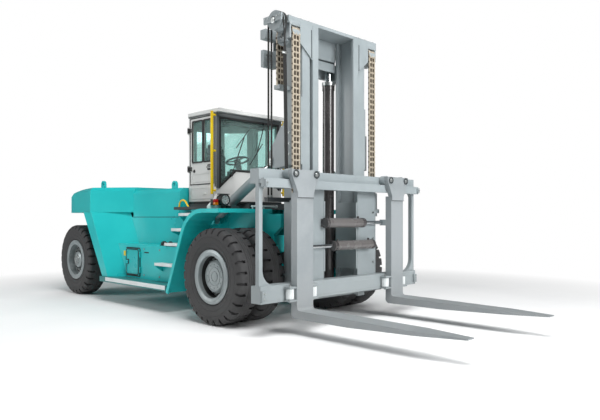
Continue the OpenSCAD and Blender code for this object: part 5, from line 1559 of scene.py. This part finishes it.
@dataclass
class MastTrim(SubAssembly):
    """Pin caps, keeper plates, crosshead covers, glands, pipes and bolts of the mast."""

    sheave_end: float = 0.942
    tilt_eye: Pair = (0.473, 2.332)
    tilt_end: float = 0.842
    pivot: Pair = (0.52, 0.62)
    pivot_end: float = 0.66
    tie_x: Pair = (0.33, 0.39)
    tie_bolts_y: tuple[float, ...] = (0.70, 0.76, 0.82)
    tie_bolts_z: Pair = (3.80, 3.87)
    tie_plates: tuple[tuple[Box, float], ...] = (
        (((0.325, 0.395), (0.64, 0.884), (3.69, 3.935)), 0.006),
        (((0.39, 0.60), (0.69, 0.715), (3.69, 3.935)), 0.004))
    # distance from the centre line, heights and radius of the bolts on the rails' outer faces
    rail_x: float = 0.86
    rail_bolts: tuple[tuple[float, tuple[float, ...], float], ...] = (
        (0.822, (2.40, 2.55, 2.70), 0.013), (0.708, (2.9, 3.1), 0.016))
    lift: Pair = (0.50, 0.37)
    barrel_top: float = 3.63
    barrel_r: float = 0.098
    gland_bore: float = 0.062
    # set-back from the cylinder's axis, distance outwards from it, and height
    pipe: tuple[Point, ...] = (
        (0.02, 0.10, 0.48), (0.03, 0.115, 0.56), (0.03, 0.115, 3.42), (0.02, 0.10, 3.50), (0.0, 0.06, 3.53))
    pipe_clips_z: tuple[float, ...] = (1.0, 1.7, 2.4, 3.1)
    crosshead_z: float = 4.268
    middle_covers: tuple[tuple[Box, float], ...] = (
        (((0.295, 0.322), (-0.62, 0.62), (3.79, 4.12)), 0.006),
        (((0.602, 0.622), (-0.40, 0.40), (3.93, 4.225)), 0.004),
        (((0.600, 0.616), (-0.40, 0.40), (3.77, 3.905)), 0.012))
    # a dark strip on the crosshead: painted shade of its groove
    middle_groove_shade: Box = ((0.601, 0.608), (-0.40, 0.40), (3.90, 3.935))
    side_covers: tuple[tuple[Box, float], ...] = (
        (((0.972, 0.996), (0.744, 0.943), (4.152, 4.226)), 0.004),
        (((0.92, 0.992), (0.914, 0.941), (3.97, 4.226)), 0.006),
        (((0.31, 0.43), (0.575, 0.88), (4.09, 4.23)), 0.006))
    # dark strips beside the rails: painted shade of the grooves
    side_groove_shade: Box = ((0.99, 0.9975), (0.512, 0.53), (3.76, 4.16))
    cover_bolts_y: Pair = (0.68, 0.80)
    top_bolts_x: Pair = (0.72, 0.96)
    top_bolts_y: tuple[float, ...] = (0.55, 0.70, 0.90)
    rod_cap: tuple[Pair, ...] = ((0.0, 0.0), (0.075, 0.0), (0.075, -0.03), (0.06, -0.036), (0.0, -0.036))
    hose_sheave: Point = (0.85, -1.125, 4.198)
    hose_bolts_x: tuple[float, ...] = (-0.15, -0.09, 0.09, 0.14)

    def capped_pin(self, draft: Draft, at: Point, s: float, radius: float) -> None:
        """Adds a pin's end with a groove, a keeper plate and its two bolts.

        Args:
            draft: Mesh to draw in.
            at: Middle of the face that the pin comes through.
            s: The side it faces, -1 or 1.
            radius: The pin's radius.
        """
        x, y, z = at
        out = (0.0, s, 0.0)
        draft.lathe([(0.0, 0.010), (radius * 0.82, 0.010), (radius, 0.004), (radius, -0.012), (0.0, -0.012)],
                    at, out, 32, False)
        draft.lathe([(radius * 0.45, 0.010), (radius * 0.6, 0.010), (radius * 0.55, 0.014),
                     (radius * 0.5, 0.014)], at, out, 24)
        below = z - radius * 1.05
        draft.block((x - radius * 0.9, x + radius * 0.9), (y - s * 0.012, y + s * 0.006),
                    (below - 0.02, below + 0.02), 0.003)
        for dx in (-0.55, 0.55):
            draft.bolt((x + dx * radius, y + s * 0.006, below), out, 0.009)

    def outer(self) -> None:
        """Adds the pins, tie plates and bolts, glands and pipes that ride on the outer mast."""
        pins, bolts, pipes, plates = Draft(), Draft(), Draft(), Draft()
        x, lift_y = self.lift
        edge, bore = self.barrel_r + 0.004, self.gland_bore
        gland = [(bore, 0.0), (edge, 0.0), (edge, -0.05), (self.barrel_r, -0.055), (bore, -0.055)]
        for s in SIDES.values():
            self.capped_pin(pins, (self.tilt_eye[0], s * self.tilt_end, self.tilt_eye[1]), s, 0.046)
            for y in self.tie_bolts_y:
                for z in self.tie_bolts_z:
                    bolts.bolt((self.tie_x[1] + 0.005, s * y, z), (1, 0, 0), 0.014)
                    bolts.bolt((self.tie_x[0] - 0.005, s * y, z), (-1, 0, 0), 0.014)
            for box, round_by in self.tie_plates:
                plates.block(*to_side(box, s), round_by)
            for y, heights, radius in self.rail_bolts:
                for z in heights:
                    bolts.bolt((self.rail_x, s * y, z), (0, s, 0), radius)
            pins.lathe(gland, (x, s * lift_y, self.barrel_top + 0.004), (0, 0, 1), 40)
            pipes.tube([(x - back, s * (lift_y + out), z) for back, out, z in self.pipe], 0.011, 10)
            for z in self.pipe_clips_z:
                pipes.block((x - 0.045, x - 0.012), (s * (lift_y + 0.088), s * (lift_y + 0.132)),
                            (z, z + 0.03), 0.003)
        self.piece(plates, "mast_tie_plates", "mast_grey", "outer_mast", "paint_grey")
        self.piece(pins, "mast_pin_caps", "zinc", "outer_mast", "chrome_rod")
        self.piece(bolts, "mast_bolts", "zinc", "outer_mast", "chrome_rod")
        self.piece(pipes, "lift_cylinder_pipes", "mast_grey", "outer_mast", "paint_grey")

    def inner(self) -> None:
        """Adds the crosshead's covers, dark strips that paint the shade in its grooves, sheave pins, rod caps
        and bolts, on the inner mast.
        """
        pins, bolts, covers, groove_shades = Draft(), Draft(), Draft(), Draft()
        for box, round_by in self.middle_covers:
            covers.block(*box, round_by)
        groove_shades.block(*self.middle_groove_shade)
        for s in SIDES.values():
            for box, round_by in self.side_covers:
                covers.block(*to_side(box, s), round_by)
            groove_shades.block(*to_side(self.side_groove_shade, s))
            for y in self.cover_bolts_y:
                bolts.bolt((0.31, s * y, 4.16), (-1, 0, 0), 0.016)
            self.capped_pin(pins, (CHAIN_SHEAVE[0], s * (self.sheave_end - 0.012), CHAIN_SHEAVE[1]), s, 0.04)
            pins.lathe(self.rod_cap, (self.lift[0], s * self.lift[1], self.crosshead_z - 0.045), (0, 0, 1),
                       32, False)
            for x in self.top_bolts_x:
                for y in self.top_bolts_y:
                    bolts.bolt((x, s * y, self.crosshead_z), (0, 0, 1), 0.014)
        x, y, z = self.hose_sheave
        for radius, deep in ((0.034, 0.008), (0.05, 0.004)):
            pins.lathe([(0.0, deep), (radius * 0.85, deep), (radius, 0.0), (0.0, 0.0)], (x, y, z), (0, -1, 0),
                       28, False)
        for dx in self.hose_bolts_x:
            bolts.bolt((x + dx, y, z + 0.035), (0, -1, 0), 0.009)
        self.piece(groove_shades, "crosshead_groove_shades", "dark", "inner_mast", "paint_dark")
        self.piece(covers, "crosshead_covers", "mast_grey", "inner_mast", "paint_grey")
        self.piece(pins, "crosshead_pin_caps", "zinc", "inner_mast", "chrome_rod")
        self.piece(bolts, "crosshead_bolts", "zinc", "inner_mast", "chrome_rod")

    def pivots(self) -> None:
        """Adds the caps of the tilt pins on the frame."""
        pins = Draft()
        for s in SIDES.values():
            self.capped_pin(pins, (self.pivot[0], s * self.pivot_end, self.pivot[1]), s, 0.045)
        self.piece(pins, "mast_pivot_caps", "zinc", "chassis", "chrome_rod")

    def build(self) -> None:
        """Builds all the mast's trim."""
        for step in (self.outer, self.inner, self.pivots):
            step()


@dataclass
class CarriageTrim(SubAssembly):
    """Roller heads and sleeves, end stops, glands, welds and bolts of the carriage and forks."""

    hang_y: Pair = (0.82, 1.20)
    hang_z: float = 2.0873
    hanger_face: float = 1.384
    hanger_seam: Box = ((1.36, 1.3732), (0.862, 1.158), (1.776, 1.785))
    guide_x: float = 1.2853
    guide_y: Pair = (0.798, 1.222)
    guide_z: Pair = (0.438, 0.632)
    sleeve_z: Pair = (0.4675, 0.6025)
    sleeve_r: float = 0.0552
    guide_rings: tuple[Pair, ...] = ((0.462, 0.4665), (0.6035, 0.608))
    roller_ring: tuple[Pair, ...] = ((0.030, 0.0), (0.052, 0.0), (0.049, 0.005), (0.033, 0.005))
    roller_head: tuple[Pair, ...] = ((0.0, 0.012), (0.022, 0.010), (0.030, 0.0), (0.0, 0.0))
    positioner_x: float = 1.165
    # height, closed end and gland end of each positioner cylinder
    barrels: tuple[Point, ...] = ((1.445, -0.43, 0.415), (1.12, 0.635, -0.27))
    gland_r: float = 0.0735
    # height and inner end of each positioner rod
    rods: ClassVar[dict[str, Pair]] = {"right": (1.12, -0.30), "left": (1.445, 0.0)}
    rod_r: float = 0.0284
    rod_end: float = 0.88
    beam_front: float = 1.23
    bar_front: float = 1.293
    column_front: float = 1.09
    column_bolts_z: tuple[float, ...] = (0.84, 1.2, 1.6)
    column_edges_y: Pair = (0.372, 0.798)
    column_z: Pair = (0.662, 1.948)
    post_x: float = 1.199
    post_y: Pair = (1.617, 1.677)
    post_z: Pair = (0.661, 1.948)
    wear_strip: tuple[Pair, Pair] = ((-1.60, 1.60), (0.468, 0.602))
    pipe_x: float = 1.10
    pipe: tuple[Pair, ...] = ((-0.95, 0.44), (-0.93, 0.412), (0.93, 0.412), (0.95, 0.44))

    def forks(self) -> None:
        """Adds roller heads, rings and sleeves, the hanger's seam and the chrome of each fork's rod."""
        for side, s in SIDES.items():
            body = f"fork_{side}"
            heads, rings, sleeves, seam, rod = Draft(), Draft(), Draft(), Draft(), Draft()
            for y in self.hang_y:
                at = (self.hanger_face, s * y, self.hang_z)
                rings.lathe(self.roller_ring, at, (1, 0, 0), 32)
                heads.lathe(self.roller_head, at, (1, 0, 0), 24, False)
            x = self.guide_x
            for y in (s * self.guide_y[0], s * self.guide_y[1]):
                sleeves.rod((x, y, self.sleeve_z[0]), (x, y, self.sleeve_z[1]), self.sleeve_r, 32,
                            round_by=0.004)
                for z, d in zip(self.guide_z, (-1, 1)):
                    heads.bolt((x, y, z), (0, 0, d), 0.016)
                for low, high in self.guide_rings:
                    rings.rod((x, y, low), (x, y, high), 0.04, 24)
            seam.block(*to_side(self.hanger_seam, s))
            self.piece(seam, f"fork_hanger_seam_{side}", "dark", body, "paint_dark")
            self.piece(sleeves, f"fork_roller_sleeves_{side}", "white", body, "paint_white")
            z, inner = self.rods[side]
            rod.rod((self.positioner_x, s * inner, z), (self.positioner_x, s * self.rod_end, z), self.rod_r,
                    24)
            self.piece(rod, f"positioner_rod_chrome_{side}", "chrome", body, "chrome_rod")
            self.piece(heads, f"fork_roller_heads_{side}", "zinc", body, "chrome_rod")
            self.piece(rings, f"fork_roller_rings_{side}", "dark", body, "paint_dark")

    def cylinders(self) -> None:
        """Adds glands and ports of the two positioner cylinders."""
        glands = Draft()
        x = self.positioner_x
        for z, closed, gland in self.barrels:
            way = 1.0 if gland > closed else -1.0
            glands.rod((x, closed - way * 0.002, z), (x, closed + way * 0.05, z), self.gland_r, 40,
                       round_by=0.004)
            glands.rod((x, gland + way * 0.002, z), (x, gland - way * 0.07, z), self.gland_r, 40,
                       round_by=0.004)
            for y in (closed + way * 0.09, gland - way * 0.11):
                glands.rod((x - 0.01, y, z + 0.055), (x - 0.01, y, z + 0.095), 0.018, 6)
        self.piece(glands, "positioner_glands", "barrel", "carriage", "paint_dark")

    def beams(self) -> None:
        """Adds end stops, a wear strip, the pipe under the lower beam, bolts and weld seams."""
        stops, bolts, welds = Draft(), Draft(), Draft()
        beam, bar, column = self.beam_front, self.bar_front, self.column_front
        for s in SIDES.values():
            stops.block((beam - 0.002, beam + 0.035), (s * 1.61, s * 1.672), (0.47, 0.60), 0.005)
            stops.block((bar - 0.002, bar + 0.03), (s * 1.625, s * 1.668), (1.915, 2.0), 0.005)
            for z in (0.50, 0.57):
                bolts.bolt((beam + 0.035, s * 1.641, z), (1, 0, 0), 0.011)
            bolts.bolt((bar + 0.03, s * 1.646, 1.957), (1, 0, 0), 0.011)
            for z in self.column_bolts_z:
                bolts.bolt((column, s * 0.74, z), (1, 0, 0), 0.014)
            for y in self.column_edges_y:
                welds.rod((column, s * y, self.column_z[0]), (column, s * y, self.column_z[1]), 0.006, 8)
            for z in self.post_z:
                welds.rod((self.post_x, s * self.post_y[0], z), (self.post_x, s * self.post_y[1], z), 0.007,
                          8)
        stops.block((beam - 0.002, beam + 0.0002), *self.wear_strip, 0)
        welds.rod((1.20, -1.67, 2.005), (1.20, 1.67, 2.005), 0.006, 8)
        stops.tube([(self.pipe_x, y, z) for y, z in self.pipe], 0.013, 10)
        self.piece(stops, "carriage_end_stops", "mast_grey", "carriage", "paint_grey")
        self.piece(bolts, "carriage_bolts", "zinc", "carriage", "chrome_rod")
        self.piece(welds, "carriage_weld_seams", "mast_grey", "carriage", "paint_grey")

    def build(self) -> None:
        """Builds all the carriage's trim."""
        for step in (self.forks, self.cylinders, self.beams):
            step()


MAKERS = (Tyres, WheelHardware, LiftChains, MastHoses, CabTrim, SeatPads, BodyTrim, MastTrim, CarriageTrim)


def main() -> None:
    """Dresses the frame, builds every sub-assembly and sets up the studio."""
    logging.basicConfig(level=logging.INFO, format="%(message)s")
    finishes = Finishes()
    finishes.dress()
    Studio().build()
    for maker in MAKERS:
        maker(finishes).build()


if __name__ == "__main__":
    main()
